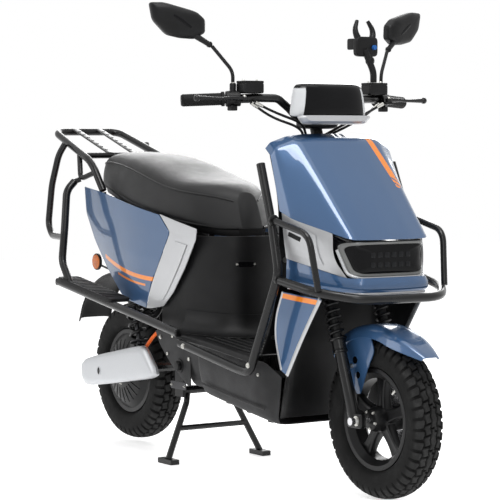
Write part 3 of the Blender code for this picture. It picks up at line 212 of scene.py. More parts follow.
def tube(path, radius, sides=14, look=0, flat=1.0, ref=LEFT):
    """A round or flattened bar: a circle of the given radius carried square to a path. ref, freed
    of the tangent, is the circle's first axis and flat scales the second."""
    path = np.asarray(path, float)
    tangent = unit(np.gradient(path, axis=0))
    ref = np.broadcast_to(np.asarray(ref, float), path.shape)
    if (np.abs(np.sum(unit(ref) * tangent, axis=1)) > 0.93).any():
        ref = np.broadcast_to(np.array([0.31, 0.11, 0.94]), path.shape)
    one = unit(ref - tangent * np.sum(ref * tangent, axis=1, keepdims=True))
    two = np.cross(tangent, one)
    turn = round_turn(sides)[None, :, None]
    radius = np.broadcast_to(np.asarray(radius, float), (len(path),))[:, None, None]
    ring = np.cos(turn) * one[:, None] + flat * np.sin(turn) * two[:, None]
    return closed_rings(path[:, None] + ring * radius, look)


def bar(points, soft, count, radius, sides=14, **more):
    """A tube along a broken line with its corners eased."""
    return tube(bent(points, soft, count), radius, sides, **more)


def axes_of(axis):
    """An axis and two unit vectors square to it."""
    axis = unit(np.asarray(axis, float))
    ref = LEFT if abs(axis[1]) < 0.9 else UP
    one = unit(ref - axis * ref.dot(axis))
    return axis, one, np.cross(axis, one)


def lathe(base, axis, profile, segments=48, look=0, ring=False):
    """A turned body: (along, radius) pairs swung about an axis. ring joins the profile's ends."""
    axis, one, two = axes_of(axis)
    profile = np.asarray(profile, float)
    turn = round_turn(segments)[:, None]
    out = np.cos(turn) * one + np.sin(turn) * two
    points = np.asarray(base, float) + profile[:, None, :1] * axis + profile[:, None, 1:] * out[None]
    return hoop_of(points, look) if ring else closed_rings(points, look)


def pillow(centre, half, look=0, power=0.25, axes=None, rows=14, cols=28):
    """A rounded box: a ball whose sines and cosines are raised to a small power, so that its sides
    flatten and its edges stay round. half gives the three half sizes along axes."""
    axes = np.eye(3) if axes is None else np.asarray(axes, float)
    pole = math.pi / 2 * 0.985
    v = np.linspace(-pole, pole, rows)[:, None]
    u = round_turn(cols)[None, :] + math.pi / cols
    belt = flat_cos(v, power)
    local = [belt * flat_cos(u, power), belt * flat_sin(u, power), flat_sin(v, power) + 0 * u]
    points = np.asarray(centre, float) + (np.stack(local, axis=-1) * np.asarray(half, float)) @ axes
    return closed_rings(points, look)


def shell(grid, thick, look=0):
    """A closed sheet: the grid and a copy set back along its normals, joined by a rim whose middle
    stands a little proud so that the edge is round."""
    rows, cols, _ = grid.shape
    normal = unit(np.cross(np.gradient(grid, axis=1), np.gradient(grid, axis=0)))
    inner = grid - normal * thick
    size = rows * cols
    index = np.arange(size).reshape(rows, cols)
    rim = np.concatenate([index[0], index[1:, -1], index[-1, -2::-1], index[-2:0:-1, 0]])
    after = np.roll(rim, -1)
    outwards = np.concatenate([grid[0] - grid[1], grid[1:, -1] - grid[1:, -2],
                               grid[-1, -2::-1] - grid[-2, -2::-1], grid[-2:0:-1, 0] - grid[-2:0:-1, 1]])
    middle = (grid + inner).reshape(-1, 3)[rim] / 2 + unit(outwards) * abs(thick) * 0.35
    edge = 2 * size + np.arange(len(rim))
    edge_after = np.roll(edge, -1)
    face = quads(rows, cols)
    faces = np.vstack([face, (face + size)[:, ::-1],
                       np.stack([rim, edge, edge_after, after], axis=1),
                       np.stack([edge, rim + size, after + size, edge_after], axis=1)])
    return np.vstack([grid.reshape(-1, 3), inner.reshape(-1, 3), middle]), faces.tolist(), look


def helix(top, low, mean, wire, curls, per=24):
    """A coil spring: a circle of wire carried along a screw line, per points to a curl."""
    axis, one, two = axes_of(low - top)
    t = np.linspace(0, 1, curls * per + 1)[:, None]
    lead = wire * 1.15
    along = lead + (np.linalg.norm(low - top) - 2 * lead) * t
    turn = FULL_TURN * curls * t
    out = np.cos(turn) * one + np.sin(turn) * two
    return tube(top + along * axis + out * mean, wire, 8, ref=out)


def bolt(at, axis, size=0.006, look=1):
    """A domed screw head: a short turned button on a washer."""
    profile = [(-0.002, size * 1.35), (0.001, size * 1.35), (0.0012, size), (0.004, size * 0.92),
               (0.0055, size * 0.6), (0.0058, size * 0.3), (0.0045, size * 0.28)]
    return lathe(at, axis, profile, 20, look)


def twin(patch):
    """The same patch on the rider's other side, with its faces turned back outwards."""
    points, faces, look = patch
    return points * MIRROR, [face[::-1] for face in faces], look


def both(patches):
    """Patches and their twins."""
    return patches + [twin(p) for p in patches]


def outward(mesh):
    """Every closed part of a mesh turned to face outwards."""
    work = bmesh.new()
    work.from_mesh(mesh)
    bmesh.ops.recalc_face_normals(work, faces=work.faces)
    work.to_mesh(mesh)
    work.free()


def piece(name, patches, looks, body, node, crease=35.0):
    """One mesh object from patches of points and faces, with the finishes named in looks, on a body
    and, where node is given, in place of that CAD node."""
    faces = []
    which = []
    start = 0
    for points, patch_faces, look in patches:
        faces += [[start + corner for corner in face] for face in patch_faces]
        which += [look] * len(patch_faces)
        start += len(points)
    mesh = bpy.data.meshes.new(name)
    mesh.from_pydata((np.vstack([p[0] for p in patches]) + SHIFT).tolist(), [], faces)
    for look in looks.split():
        mesh.materials.append(finish(look))
    mesh.polygons.foreach_set("material_index", which)
    mesh.polygons.foreach_set("use_smooth", [True] * len(faces))
    made = bpy.data.objects.new(name, mesh)
    bpy.context.scene.collection.objects.link(made)
    outward(mesh)
    mesh.set_sharp_from_angle(angle=math.radians(crease))
    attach(made, body)
    if node:
        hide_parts(node)
    return made


def pair(name, patches, looks, body, node):
    """A piece on the rider's right and its twin on the left; {} in a name stands for the side."""
    for side, made in (("right", patches), ("left", [twin(p) for p in patches])):
        piece(name.format(side), made, looks, body.format(side), node.format(side))


class Wire:
    """A shader socket that takes part in Python sums: each operator adds a Math node."""

    def __init__(self, tree, socket):
        self.tree = tree
        self.socket = socket

    def math(self, operation, other=None, first=False):
        """A Math node of this value and another, which comes before it where first is set."""
        values = [self] if other is None else [other, self] if first else [self, other]
        return self.tree.node("ShaderNodeMath", {"operation": operation}, dict(enumerate(values)))

    def __add__(self, other):
        return self.math("ADD", other)

    def __sub__(self, other):
        return self.math("SUBTRACT", other)

    def __rsub__(self, other):
        return self.math("SUBTRACT", other, True)

    def __mul__(self, other):
        return self.math("MULTIPLY", other)

    def __abs__(self):
        return self.math("ABSOLUTE")


class Nodes:
    """The node tree of a material or a world under construction."""

    def __init__(self, owner):
        owner.use_nodes = True
        self.nodes = owner.node_tree.nodes
        self.links = owner.node_tree.links

    def node(self, kind, settings, sockets, output=0):
        """One node: its type, its settings, then the values or links of its sockets."""
        made = self.nodes.new(kind)
        for key, value in settings.items():
            setattr(made, key, value)
        for key, value in sockets.items():
            self.feed(made.inputs[key], value)
        return Wire(self, made.outputs[output])

    def feed(self, socket, value):
        """A link or a fixed value into a socket."""
        if isinstance(value, Wire):
            self.links.new(value.socket, socket)
        else:
            socket.default_value = value

    def ramp(self, value, low, high, ends=(0.0, 1.0)):
        """A smooth step of a value from low to high."""
        return self.node("ShaderNodeMapRange", {"interpolation_type": "SMOOTHSTEP"},
                         {"Value": value, "From Min": low, "From Max": high, "To Min": ends[0],
                          "To Max": ends[1]})


class Finish(Nodes):
    """A material under construction: its nodes, its Object coordinates and its shader."""

    def __init__(self, name, **fixed):
        self.made = bpy.data.materials.new(name)
        super().__init__(self.made)
        self.shader = self.nodes["Principled BSDF"]
        self.place = self.node("ShaderNodeTexCoord", {}, {}, "Object")
        self.x = self.node("ShaderNodeSeparateXYZ", {}, {"Vector": self.place}, "X")
        split = self.x.socket.node
        self.y = Wire(self, split.outputs["Y"])
        self.z = Wire(self, split.outputs["Z"])
        self.set(**fixed)

    def set(self, **values):
        """Values or links for the shader's own sockets, named with underscores for spaces."""
        sockets = {socket.name.lower(): socket for socket in self.shader.inputs}
        for key, value in values.items():
            self.feed(sockets[key.replace("_", " ")], value)

    def inside(self, value, low, high, soft=0.0012):
        """One between low and high, and nought outside, with soft edges."""
        rise = self.ramp(value, low - soft, low + soft)
        return rise * self.ramp(value, high - soft, high + soft, (1.0, 0.0))

    def noise(self, scale, detail=3.0, roughness=0.55, place=None):
        """Soft noise of that many features to the metre."""
        return self.node("ShaderNodeTexNoise", {}, {"Vector": place or self.place, "Scale": scale,
                                                    "Detail": detail, "Roughness": roughness}, "Fac")

    def cells(self, scale, feature="F1"):
        """Distance to the nearest of scattered points, or to the edges of their cells."""
        return self.node("ShaderNodeTexVoronoi", {"feature": feature}, {"Vector": self.place, "Scale": scale},
                         "Distance")

    def mix(self, factor, one, two):
        """A colour between two colours."""
        return self.node("ShaderNodeMix", {"data_type": "RGBA"}, {"Factor": factor, 6: one, 7: two}, 2)

    def marked(self, base, marks):
        """A colour with painted marks laid over it: marks(finish) gives (mask, colour) pairs."""
        for mask, mark in (marks(self) if marks else []):
            base = self.mix(mask, base, mark)
        return base

    def bump(self, height, strength, depth):
        """Surface relief from a height."""
        self.set(normal=self.node("ShaderNodeBump", {}, {"Height": height, "Strength": strength,
                                                         "Distance": depth}, "Normal"))


def rgb(red, green, blue):
    """A colour as a shader takes it, from screen values of 0 to 255."""
    def linear(value):
        value = value / 255.0
        return value / 12.92 if value <= 0.04045 else ((value + 0.055) / 1.055) ** 2.4
    return (linear(red), linear(green), linear(blue), 1.0)


ORANGE = rgb(242, 136, 22)
# pale silver for the painted reflection on the dash pod's ends
POD_END_REFLECTION = rgb(206, 208, 210)


def shades(colour, low=0.75, high=1.25):
    """A darker and a lighter version of a colour."""
    return tuple(c * low for c in colour[:3]) + (1.0,), tuple(min(1.0, c * high) for c in colour[:3]) + (1.0,)


def paint(name, colour, marks=None):
    """Lacquered metal-flake paint: fine flake in the colour, slow waviness in the gloss, a clear
    coat, and painted marks."""
    f = Finish(name, metallic=0.25, coat_weight=1.0, coat_roughness=0.04, specular_ior_level=0.2)
    dark, light = shades(colour, 0.86, 1.18)
    flake = f.ramp(f.cells(2600.0), 0.1, 0.75)
    base = f.mix(flake * 0.55 + f.noise(6.0) * 0.45, light, dark)
    f.set(base_color=f.marked(base, marks), roughness=f.noise(14.0, 4.0) * 0.16 + 0.27)
    f.bump(f.noise(260.0, 2.0), 0.03, 0.0004)
    return f.made


def satin(name, colour, metallic=0.55, rough=0.38):
    """Sprayed silver lacquer: fine speckle and a slightly uneven sheen."""
    f = Finish(name, metallic=metallic, coat_weight=0.2)
    dark, light = shades(colour, 0.90, 1.08)
    speck = f.cells(1800.0)
    base = f.mix(f.ramp(speck, 0.1, 0.8) * 0.6 + f.noise(9.0) * 0.4, light, dark)
    f.set(base_color=base, roughness=f.noise(22.0, 4.0) * 0.14 + (rough - 0.07))
    f.bump(speck, 0.05, 0.0003)
    return f.made


def moulded(name, colour, rough=0.55, grain=900.0, depth=0.25):
    """Moulded plastic: a pebbled grain in the relief, with dust and rubbed places in the sheen."""
    f = Finish(name, specular_ior_level=0.2)
    dark, light = shades(colour, 0.75, 1.5)
    grains = f.cells(grain)
    base = f.mix(f.ramp(f.noise(11.0, 5.0), 0.35, 0.75), dark, light)
    f.set(base_color=base, roughness=f.noise(30.0, 4.0) * 0.22 + (rough - 0.11))
    f.bump(grains, depth, 0.0005)
    return f.made


def enamel(name, colour, rough, metallic=0.0, coat=0.15):
    """Baked enamel on steel tube: an orange-peel ripple, and scuffs that show as duller patches."""
    f = Finish(name, metallic=metallic, coat_weight=coat, specular_ior_level=0.25)
    dark, light = shades(colour, 0.8, 1.4)
    scuff = f.ramp(f.noise(45.0, 6.0, 0.7), 0.52, 0.70)
    f.set(base_color=f.mix(scuff, dark, light),
          roughness=f.noise(18.0) * 0.12 + scuff * 0.14 + (rough - 0.08))
    f.bump(f.noise(420.0, 2.0), 0.08, 0.0005)
    return f.made


def bright(name, colour, rough=0.22):
    """Bare or plated metal: brushed streaks in the gloss and faint tarnish."""
    f = Finish(name, metallic=1.0)
    dark, light = shades(colour, 0.8, 1.1)
    brushed = f.node("ShaderNodeMapping", {}, {"Vector": f.place, "Scale": (60.0, 900.0, 900.0)})
    streak = f.noise(1.0, 3.0, 0.5, brushed)
    f.set(base_color=f.mix(f.noise(40.0, 4.0), dark, light), roughness=streak * 0.2 + (rough - 0.1))
    f.bump(streak, 0.06, 0.0003)
    return f.made


def rubber(name, colour, rough=0.72, centre=None):
    """Tyre or grip rubber: fine pits and grey dust. Round a tyre's centre, fine rings on the side
    wall, a painted highlight on the block tops and painted shade in the grooves, marked by an attribute of
    the tyre's cut."""
    f = Finish(name, specular_ior_level=0.15)
    dark, light = shades(colour, 0.75, 1.9)
    dust = f.ramp(f.noise(26.0, 6.0, 0.65), 0.45, 0.8)
    height = f.cells(1400.0) * 0.4
    if centre is not None:
        run = f.x - centre[0]
        rise = f.z - centre[2]
        reach = (run * run + rise * rise).math("SQRT")
        wall = f.inside(reach, 0.140, 0.172, 0.004)
        height = height + (reach * 2100.0).math("SINE") * wall * 0.6
        groove = f.node("ShaderNodeAttribute", {"attribute_name": "groove"}, {}, "Fac")
        # painted highlight: block tops out of the grooves are painted lighter, as if lit from above
        top = f.ramp(reach, 0.176, 0.186) * (1.0 - groove)
        light = f.mix(top, light, shades(colour, 1.0, 5.5)[1])
        # painted shade: the grooves are painted a quarter as bright as the rubber
        dark = f.mix(groove, f.mix(top, dark, shades(colour, 1.0, 2.2)[1]), shades(colour, 0.25)[0])
    f.set(base_color=f.mix(dust, dark, light), roughness=f.noise(60.0) * 0.2 + (rough - 0.1))
    f.bump(height, 0.3, 0.0006)
    return f.made


def vinyl(name, colour):
    """Seat vinyl: a leather-like net of fine creases and a soft, uneven sheen."""
    f = Finish(name, specular_ior_level=0.30)
    dark, light = shades(colour, 0.8, 1.5)
    crease = f.ramp(f.cells(420.0, "DISTANCE_TO_EDGE"), 0.0, 0.12)
    f.set(base_color=f.mix(f.noise(8.0, 5.0), dark, light), roughness=f.noise(25.0) * 0.16 + 0.36)
    f.bump(crease + f.noise(160.0) * 0.5, 0.22, 0.0007)
    return f.made


def clear(name, colour, rough, lines=0.0, marks=None, gloss=0.14):
    """Hard glossy lens: a deep tint under gloss, with moulded ribs where lines is set."""
    f = Finish(name, specular_ior_level=gloss)
    dark, light = shades(colour, 0.7, 1.4)
    base = f.mix(f.noise(18.0), dark, light)
    f.set(base_color=f.marked(base, marks), roughness=f.noise(40.0) * 0.05 + rough)
    if lines:
        f.bump((f.z * lines).math("SINE"), 0.35, 0.0008)
    else:
        f.bump(f.noise(90.0), 0.02, 0.0003)
    return f.made


def shield_marks(f):
    """An orange flash down the left of the shield's face, broken by slits near its foot."""
    across = f.y - 0.118 + (f.z - 0.795) * 0.14
    band = f.inside(across, -0.011, 0.008) * f.inside(f.z, 0.785, 0.925)
    slit = ((f.z + f.y * 0.7) * 520.0).math("SINE")
    gaps = f.ramp(slit, 0.35, 0.5) * f.inside(f.z, 0.778, 0.812)
    front = f.ramp(f.x, 0.420, 0.424)
    return [(band * (1.0 - gaps) * front, ORANGE)]


def leg_marks(f):
    """An orange band under the leg panel's top edge."""
    lift = f.z + (f.x - 0.464) * 0.068
    return [(f.inside(lift, 0.5045, 0.5175) * f.inside(f.x, 0.464, 0.606), ORANGE)]


def tail_marks(f):
    """Two orange arcs that narrow towards the tail."""
    run = f.x + 0.480
    lift = f.z - 0.560 + run * 0.27 - run * run * 0.42
    upper = f.inside(lift, -0.0055, 0.0065) * f.inside(f.x, -0.500, -0.158)
    lower = f.inside(lift, -0.0225, -0.0165) * f.inside(f.x, -0.400, -0.215)
    return [(upper, ORANGE), (lower, ORANGE)]


def pod_marks(f):
    """A pale silver band painted on each end of the dash pod: a painted reflection of the bright studio on
    the gloss black.
    """
    edge = abs(f.y) + (f.z - 0.975) * 0.14
    return [(f.ramp(edge, 0.0955, 0.0965) * f.ramp(f.z, 1.040, 1.044, (1.0, 0.0)), POD_END_REFLECTION)]


def chosen(name):
    """A colour that the user can change."""
    return tuple(getattr(bpy.context.scene.moped_colours, name))


MAKERS = {
    "blue": lambda: paint("steel_blue_paint", chosen("body")),
    "shield": lambda: paint("shield_paint", chosen("body"), shield_marks),
    "leg": lambda: paint("leg_panel_paint", chosen("body"), leg_marks),
    "tail": lambda: paint("tail_panel_paint", chosen("body"), tail_marks),
    "silver": lambda: satin("silver_lacquer", chosen("trim")),
    "cover": lambda: satin("cover_silver", rgb(188, 190, 193), 0.6, 0.36),
    "frame": lambda: satin("lamp_frame_grey", rgb(112, 113, 112), 0.6, 0.34),
    "black": lambda: moulded("black_moulding", rgb(15, 15, 16), 0.42),
    "grey": lambda: moulded("grey_moulding", rgb(40, 40, 41)),
    "mat": lambda: moulded("floor_mat", rgb(17, 17, 18), 0.62, 500.0, 0.35),
    "orange": lambda: moulded("cable_orange", rgb(222, 96, 30), 0.45, 700.0, 0.1),
    "cable": lambda: moulded("cable_black", rgb(20, 20, 21), 0.42, 1300.0, 0.12),
    "knob": lambda: moulded("knob_blue", rgb(40, 92, 160), 0.4, 800.0, 0.1),
    "battery": lambda: moulded("battery_case", rgb(44, 47, 52), 0.5),
    "tube": lambda: enamel("black_tube_enamel", rgb(16, 16, 17), 0.30),
    "chassis": lambda: enamel("chassis_enamel", rgb(20, 20, 21), 0.5, 0.0, 0.05),
    "wheel": lambda: enamel("wheel_enamel", rgb(18, 18, 19), 0.42, 0.1, 0.1),
    "spring": lambda: enamel("spring_enamel", rgb(16, 16, 17), 0.38),
    "steel": lambda: bright("bright_steel", rgb(205, 205, 207)),
    "dim": lambda: bright("oiled_steel", rgb(62, 62, 64), 0.35),
    "bolt": lambda: bright("zinc_bolt", rgb(190, 189, 184), 0.3),
    "glass": lambda: bright("mirror_glass", rgb(222, 226, 230), 0.12),
    "front_rubber": lambda: rubber("front_tyre_rubber", rgb(22, 22, 22), 0.72, FRONT_AXLE + SHIFT),
    "rear_rubber": lambda: rubber("rear_tyre_rubber", rgb(22, 22, 22), 0.72, REAR_AXLE + SHIFT),
    "grip": lambda: rubber("grip_rubber", rgb(17, 17, 17), 0.6),
    "vinyl": lambda: vinyl("seat_vinyl", chosen("seat")),
    "bezel": lambda: clear("bezel_black", rgb(12, 12, 14), 0.10),
    "gloss": lambda: clear("gloss_black", rgb(10, 10, 12), 0.08),
    # the pod's gloss black carries a painted reflection on both ends
    "pod": lambda: clear("pod_gloss", rgb(9, 9, 11), 0.05, marks=pod_marks),
    "lens": lambda: clear("lamp_lens", rgb(10, 10, 12), 0.05),
    "led": lambda: clear("lamp_chip", rgb(24, 25, 27), 0.15),
    "red": lambda: clear("tail_lens", rgb(150, 16, 18), 0.1, 900.0, gloss=0.5),
    "amber": lambda: clear("reflector_amber", rgb(205, 104, 20), 0.12, 1500.0, gloss=0.5),
}
FINISHES = {}


def finish(name):
    """A finish by its name, made the first time that it is asked for."""
    if name not in FINISHES:
        FINISHES[name] = MAKERS[name]()
    return FINISHES[name]


def colour_setting(label, words, default):
    """A colour that the sidebar shows."""
    return bpy.props.FloatVectorProperty(name=label, description=words, subtype="COLOR", size=4,
                                         default=default, min=0.0, max=1.0)


def length_setting(label, words, default):
    """A length that the sidebar shows."""
    return bpy.props.FloatProperty(name=label, description=words, unit="LENGTH", default=default)


class MopedColours(bpy.types.PropertyGroup):
    """The scooter's colours."""
    body: colour_setting("Body", "Painted panels", rgb(52, 86, 126))
    trim: colour_setting("Trim", "Silver trim panels", rgb(186, 187, 189))
    seat: colour_setting("Seat", "Seat cover", rgb(16, 16, 17))


class MopedSizes(bpy.types.PropertyGroup):
    """Sizes of the visible detail."""
    cage_radius: length_setting("Cage tube", "Radius of the cage's tubes", 0.0115)
    tread_depth: length_setting("Tread", "Depth of the tyres' tread", 0.0062)
    tread_blocks: bpy.props.IntProperty(name="Tread blocks", description="Blocks round each tyre", default=44)
    panel: length_setting("Panel", "Thickness of the panels", 0.003)
    spring_wire: length_setting("Fork spring wire", "Radius of the fork springs' wire", 0.0036)


def front_shield(thick):
    """The shield: a lip, a top edge and a low edge, with straight runs between the last two."""
    lip = half_row([(0.340, 0.181, 0.886), (0.352, 0.176, 0.900), (0.362, 0.135, 0.915),
                    (0.352, 0.070, 0.921), (0.348, 0.0, 0.922)])
    top = half_row([(0.372, 0.187, 0.868), (0.384, 0.180, 0.884), (0.402, 0.130, 0.905),
                    (0.404, 0.070, 0.909), (0.404, 0.0, 0.910)])
    low = half_row([(0.426, 0.196, 0.728), (0.470, 0.186, 0.708), (0.626, 0.119, 0.660),
                    (0.634, 0.065, 0.659), (0.636, 0.0, 0.659)])
    rows = [lip] + [top * (1 - t) + low * t for t in (0.0, 0.25, 0.5, 0.75, 1.0)]
    skin = shell(quilt(rows, 60, 72, 0.16, 0.16), thick)
    piece("front_shield_skin", [skin], "shield", "chassis", "front_shield")


def cheeks(thick):
    """The silver cheeks: three curved rows, a raised field in the middle and a flat dark slot."""
    skin = quilt([[(0.426, -0.1895, 0.7235), (0.500, -0.1700, 0.7005), (0.574, -0.1390, 0.6745)],
                  [(0.434, -0.190, 0.670), (0.515, -0.172, 0.640), (0.580, -0.143, 0.615)],
                  [(0.440, -0.185, 0.6086), (0.530, -0.160, 0.5886), (0.606, -0.118, 0.5648)]], 30, 30,
                 0.45, 0.3)
    away = unit(np.cross(np.gradient(skin, axis=0), np.gradient(skin, axis=1)))
    raised = (skin + away * 0.0034)[5:25, 3:21]
    slot_path = (skin + away * 0.0072)[12, 4:12]
    patches = [shell(skin, thick), shell(raised, 0.0036),
               tube(slot_path, 0.0060, 12, 1, 0.25, (0.2, 0, 1))]
    pair("cheek_{}", patches, "silver black", "chassis", "nose_cheek_{}")


def lamp_belt(thick):
    """The painted belt: one outline round the nose at four heights, with a silver strip below."""
    ring = np.array([(0.440, 0.184), (0.530, 0.160), (0.610, 0.124), (0.645, 0.103), (0.655, 0.060),
                     (0.658, 0.0)])
    high = np.array([0.000, -0.020, -0.044, -0.042, -0.0412, -0.0412])
    under = np.array([0.0, -0.012, -0.028, -0.030, -0.030, -0.030])
    band = []
    for z, out, drop in ((0.606, -0.004, high), (0.580, 0.004, under), (0.545, 0.004, under * 0.3),
                         (0.536, -0.010, under * 0.3)):
        row = np.column_stack([ring + out * 0.6, z + drop])
        row[-1, 1] = 0.0
        band.append(half_row(row))
    belt = quilt(band, 24, 80, 0.3, 0.35)
    strip = tube(belt[-4] + (0.001, 0.0, -0.0052), 0.0042, 10, 1, 0.6, UP)
    piece("lamp_belt", [shell(belt, thick), strip], "blue silver", "chassis", "nose_lower_panel")


def lamp_ring(width, height, out):
    """A rounded oblong, narrower at its foot, whose ends bend back round the nose."""
    ring = oblong(0.6285 + out, width, height, 0.6108, 72, 0.28, 0.09)
    ring[:, 0] -= 0.050 * np.clip((np.abs(ring[:, 1]) - 0.092) / 0.046, 0, 1) ** 1.4
    return ring


def headlight():
    """The lamp: a gloss bezel, a grey border, a silver line under it, a dark lens and its chips."""
    rings = [oblong(x, w, h, z, 72, 0.28, 0.04) for x, w, h, z in
             ((0.548, 0.142, 0.0475, 0.6235), (0.564, 0.1415, 0.0475, 0.6205))]
    rings += [lamp_ring(*size) for size in ((0.1395, 0.0465, -0.008), (0.1385, 0.0458, -0.002),
                                            (0.1300, 0.0390, -0.005), (0.1150, 0.0300, -0.012))]
    border = [lamp_ring(*size) for size in
              ((0.1372, 0.0446, -0.010), (0.1372, 0.0446, 0.0010), (0.1345, 0.0424, 0.0028),
               (0.1285, 0.0372, 0.0024), (0.1270, 0.0358, -0.0005), (0.1270, 0.0358, -0.010))]
    under = tube(lamp_ring(0.1400, 0.0474, -0.001)[35:], 0.0046, 10, 1, ref=AHEAD)
    piece("lamp_bezel", [closed_rings(rings), under, hoop_of(border, 2)], "bezel silver frame", "chassis",
          "headlight_bezel")
    steps = ((1.0, -0.008), (1.0, -0.0025), (0.985, -0.0012), (0.9, -0.0002), (0.7, 0.0005), (0.45, 0.0010),
             (0.2, 0.0012), (0.03, 0.0012))
    patches = [closed_rings([lamp_ring(0.1280 * k, 0.0366 * k, out) for k, out in steps])]
    for y in (-0.055, -0.033, -0.011, 0.011, 0.033, 0.055):
        for z in (0.596, 0.621):
            patches.append(pillow((0.6275, y, z), (0.0034, 0.0075, 0.0070), 1, 0.3, None, 8, 16))
    piece("lamp_lens", patches, "lens led", "chassis", "headlight_lens")


class MOPED_OT_shield(bpy.types.Operator):
    """The front shield, its cheeks, the painted belt under the lamp and the lamp"""
    bl_idname = "moped.shield"
    bl_label = "Front shield and lamp"

    def execute(self, context):
        thick = context.scene.moped_sizes.panel
        front_shield(thick)
        cheeks(thick)
        lamp_belt(thick)
        headlight()
        return {"FINISHED"}


def leg_panels(thick):
    """The painted leg panels: three rows that narrow downwards, with a silver edge at each side."""
    skin = quilt([[(0.404, -0.172, 0.520), (0.480, -0.170, 0.515), (0.556, -0.162, 0.510)],
                  [(0.366, -0.175, 0.428), (0.424, -0.172, 0.420), (0.482, -0.164, 0.410)],
                  [(0.388, -0.166, 0.318), (0.398, -0.164, 0.312), (0.408, -0.160, 0.306)]], 44, 24, 0.5, 0.4)
    front = tube(skin[:, -1] + (-0.003, -0.0012, 0), 0.0075, 12, 1, 0.4, (1, 0, 0.4))
    rear = tube(skin[:, 0] + (0.002, -0.0012, 0), 0.0052, 12, 1, 0.45, (1, 0, 0.4))
    pair("leg_panel_{}_skin", [shell(skin, thick), front, rear], "leg silver", "chassis", "leg_panel_{}")


def leg_shield(thick):
    """The shield before the rider's knees: rows across, each with a smooth bulge towards the seat."""
    t = np.array([-1.0, -0.8, -0.45, -0.2, 0.2, 0.45, 0.8, 1.0])
    bulge = np.minimum(1, smooth(np.clip(1 - np.abs(t) / 0.85, 0, 1)) * 1.35)
    rows = []
    for z, mid, side, width in ((0.885, 0.282, 0.338, 0.170), (0.760, 0.322, 0.392, 0.178),
                                (0.650, 0.345, 0.398, 0.178), (0.520, 0.326, 0.372, 0.168),
                                (0.420, 0.312, 0.342, 0.168), (0.352, 0.305, 0.318, 0.180)):
        rows.append(np.column_stack([side - (side - mid) * bulge, width * t, z + 0 * t]))
    skin = quilt(rows, 60, 64, 0.35, 0.4)
    patches = [shell(skin, -thick)]
    for y in (-0.150, 0.150):
        for z in (0.82, 0.60, 0.40):
            near = skin[np.argmin(np.abs(skin[:, 0, 2] - z)), np.argmin(np.abs(skin[0, :, 1] - y))]
            patches.append(bolt(near - 0.0005 * AHEAD, -AHEAD, 0.0055))
    piece("leg_shield_skin", patches, "black bolt", "chassis", "leg_shield")


def splash_panel(thick):
    """The panel behind the front wheel: flat across, with its sides turned forward by a high power."""
    t = np.array([-1.0, -0.86, -0.7, 0.0, 0.7, 0.86, 1.0])
    rows = []
    for z, x, edge, width in ((0.520, 0.380, 0.553, 0.1618), (0.415, 0.385, 0.477, 0.1634),
                              (0.310, 0.370, 0.404, 0.1620), (0.240, 0.364, 0.388, 0.1640),
                              (0.190, 0.360, 0.367, 0.1560)):
        rows.append(np.column_stack([x + (edge - x) * np.abs(t) ** 7, width * t, z + 0 * t]))
    piece("splash_panel_skin", [shell(quilt(rows, 40, 48, 0.4, 0.3), thick)], "black", "chassis",
          "splash_panel")


def floor_board():
    """The floor: a tray with turned-down edges, sloping up to the rear, under fifteen ribs."""
    tray = [[(x, -0.208, z - 0.014), (x, -0.204, z - 0.003), (x, -0.190, z), (x, 0.190, z),
             (x, 0.204, z - 0.003), (x, 0.208, z - 0.014)]
            for x, z in ((0.300, 0.348), (0.220, 0.356), (0.130, 0.366), (0.040, 0.374), (-0.060, 0.378))]
    patches = [shell(quilt(tray, 40, 40, 0.4, 0.35), 0.005)]
    for y in np.linspace(-0.175, 0.175, 15):
        line = [(0.288, y, 0.3500), (0.220, y, 0.3566), (0.130, y, 0.3665), (0.050, y, 0.3738)]
        patches.append(bar(line, 0.03, 24, 0.0042, 8, look=1, flat=0.5))
    piece("floor_board_mat", patches, "black mat", "chassis", "floor_board")


def seat_front(thick):
    """The panel under the seat: one rounded outline at five heights, which swells at its foot into
    a quarter-round kick strip, with a small port and two bolts in its face."""
    side = np.array([(-0.200, 0.150), (-0.110, 0.148), (-0.050, 0.136), (0.005, 0.104), (0.038, 0.060),
                     (0.046, 0.0)])
    rows = []
    top = 0.644
    for z, grow in ((top, 0.0), (0.600, 0.006), (0.520, 0.0), (0.440, 0.0), (0.3783, 0.010)):
        row = np.column_stack([side[:, 0] + grow, side[:, 1] + grow * 0.3, z + 0 * side[:, 0]])
        row[-1, 1] = 0.0
        row[:, 0] -= np.where(row[:, 1] > 0.12, 0.10 * (top - z), 0.0)
        rows.append(half_row(row))
    skin = quilt(rows, 50, 72, 0.4, 0.45)
    lie = skin[np.argmin(np.abs(skin[:, 0, 2] - 0.566))]
    first, middle, last = [lie[np.argmin(np.abs(lie[:, 1] - y))] for y in (-0.066, -0.044, -0.022)]
    slope = unit(last - first)
    facing = unit(np.cross(slope, UP))
    port = pillow(middle + facing * 0.001, (0.024, 0.0035, 0.0075), 2, 0.3, (slope, facing, UP))
    patches = [shell(skin, thick), port]
    patches += [bolt(spot + facing * 0.002, facing, 0.0030) for spot in (first, last)]
    foot = skin[-1, 10:62]
    flow = unit(np.cross(np.gradient(foot, axis=0), UP))
    flow = flow * np.sign(flow[len(flow) // 2, 0])
    turn = np.linspace(0, math.pi / 2, 14)[:, None]
    kick_out, kick_tall = 0.052, 0.060
    shelf = np.interp(foot[:, 0] + 0.04, [-0.06, 0.04, 0.13], [0.3788, 0.3748, 0.3668])
    kick = foot[None] + flow[None] * kick_out * (1 - np.cos(turn))[..., None]
    kick[:, :, 2] = shelf[None] + kick_tall * (1 - np.sin(turn))
    patches.append(shell(kick, 0.002))
    piece("seat_front_skin", patches, "black bolt gloss", "chassis", "seat_front_panel")


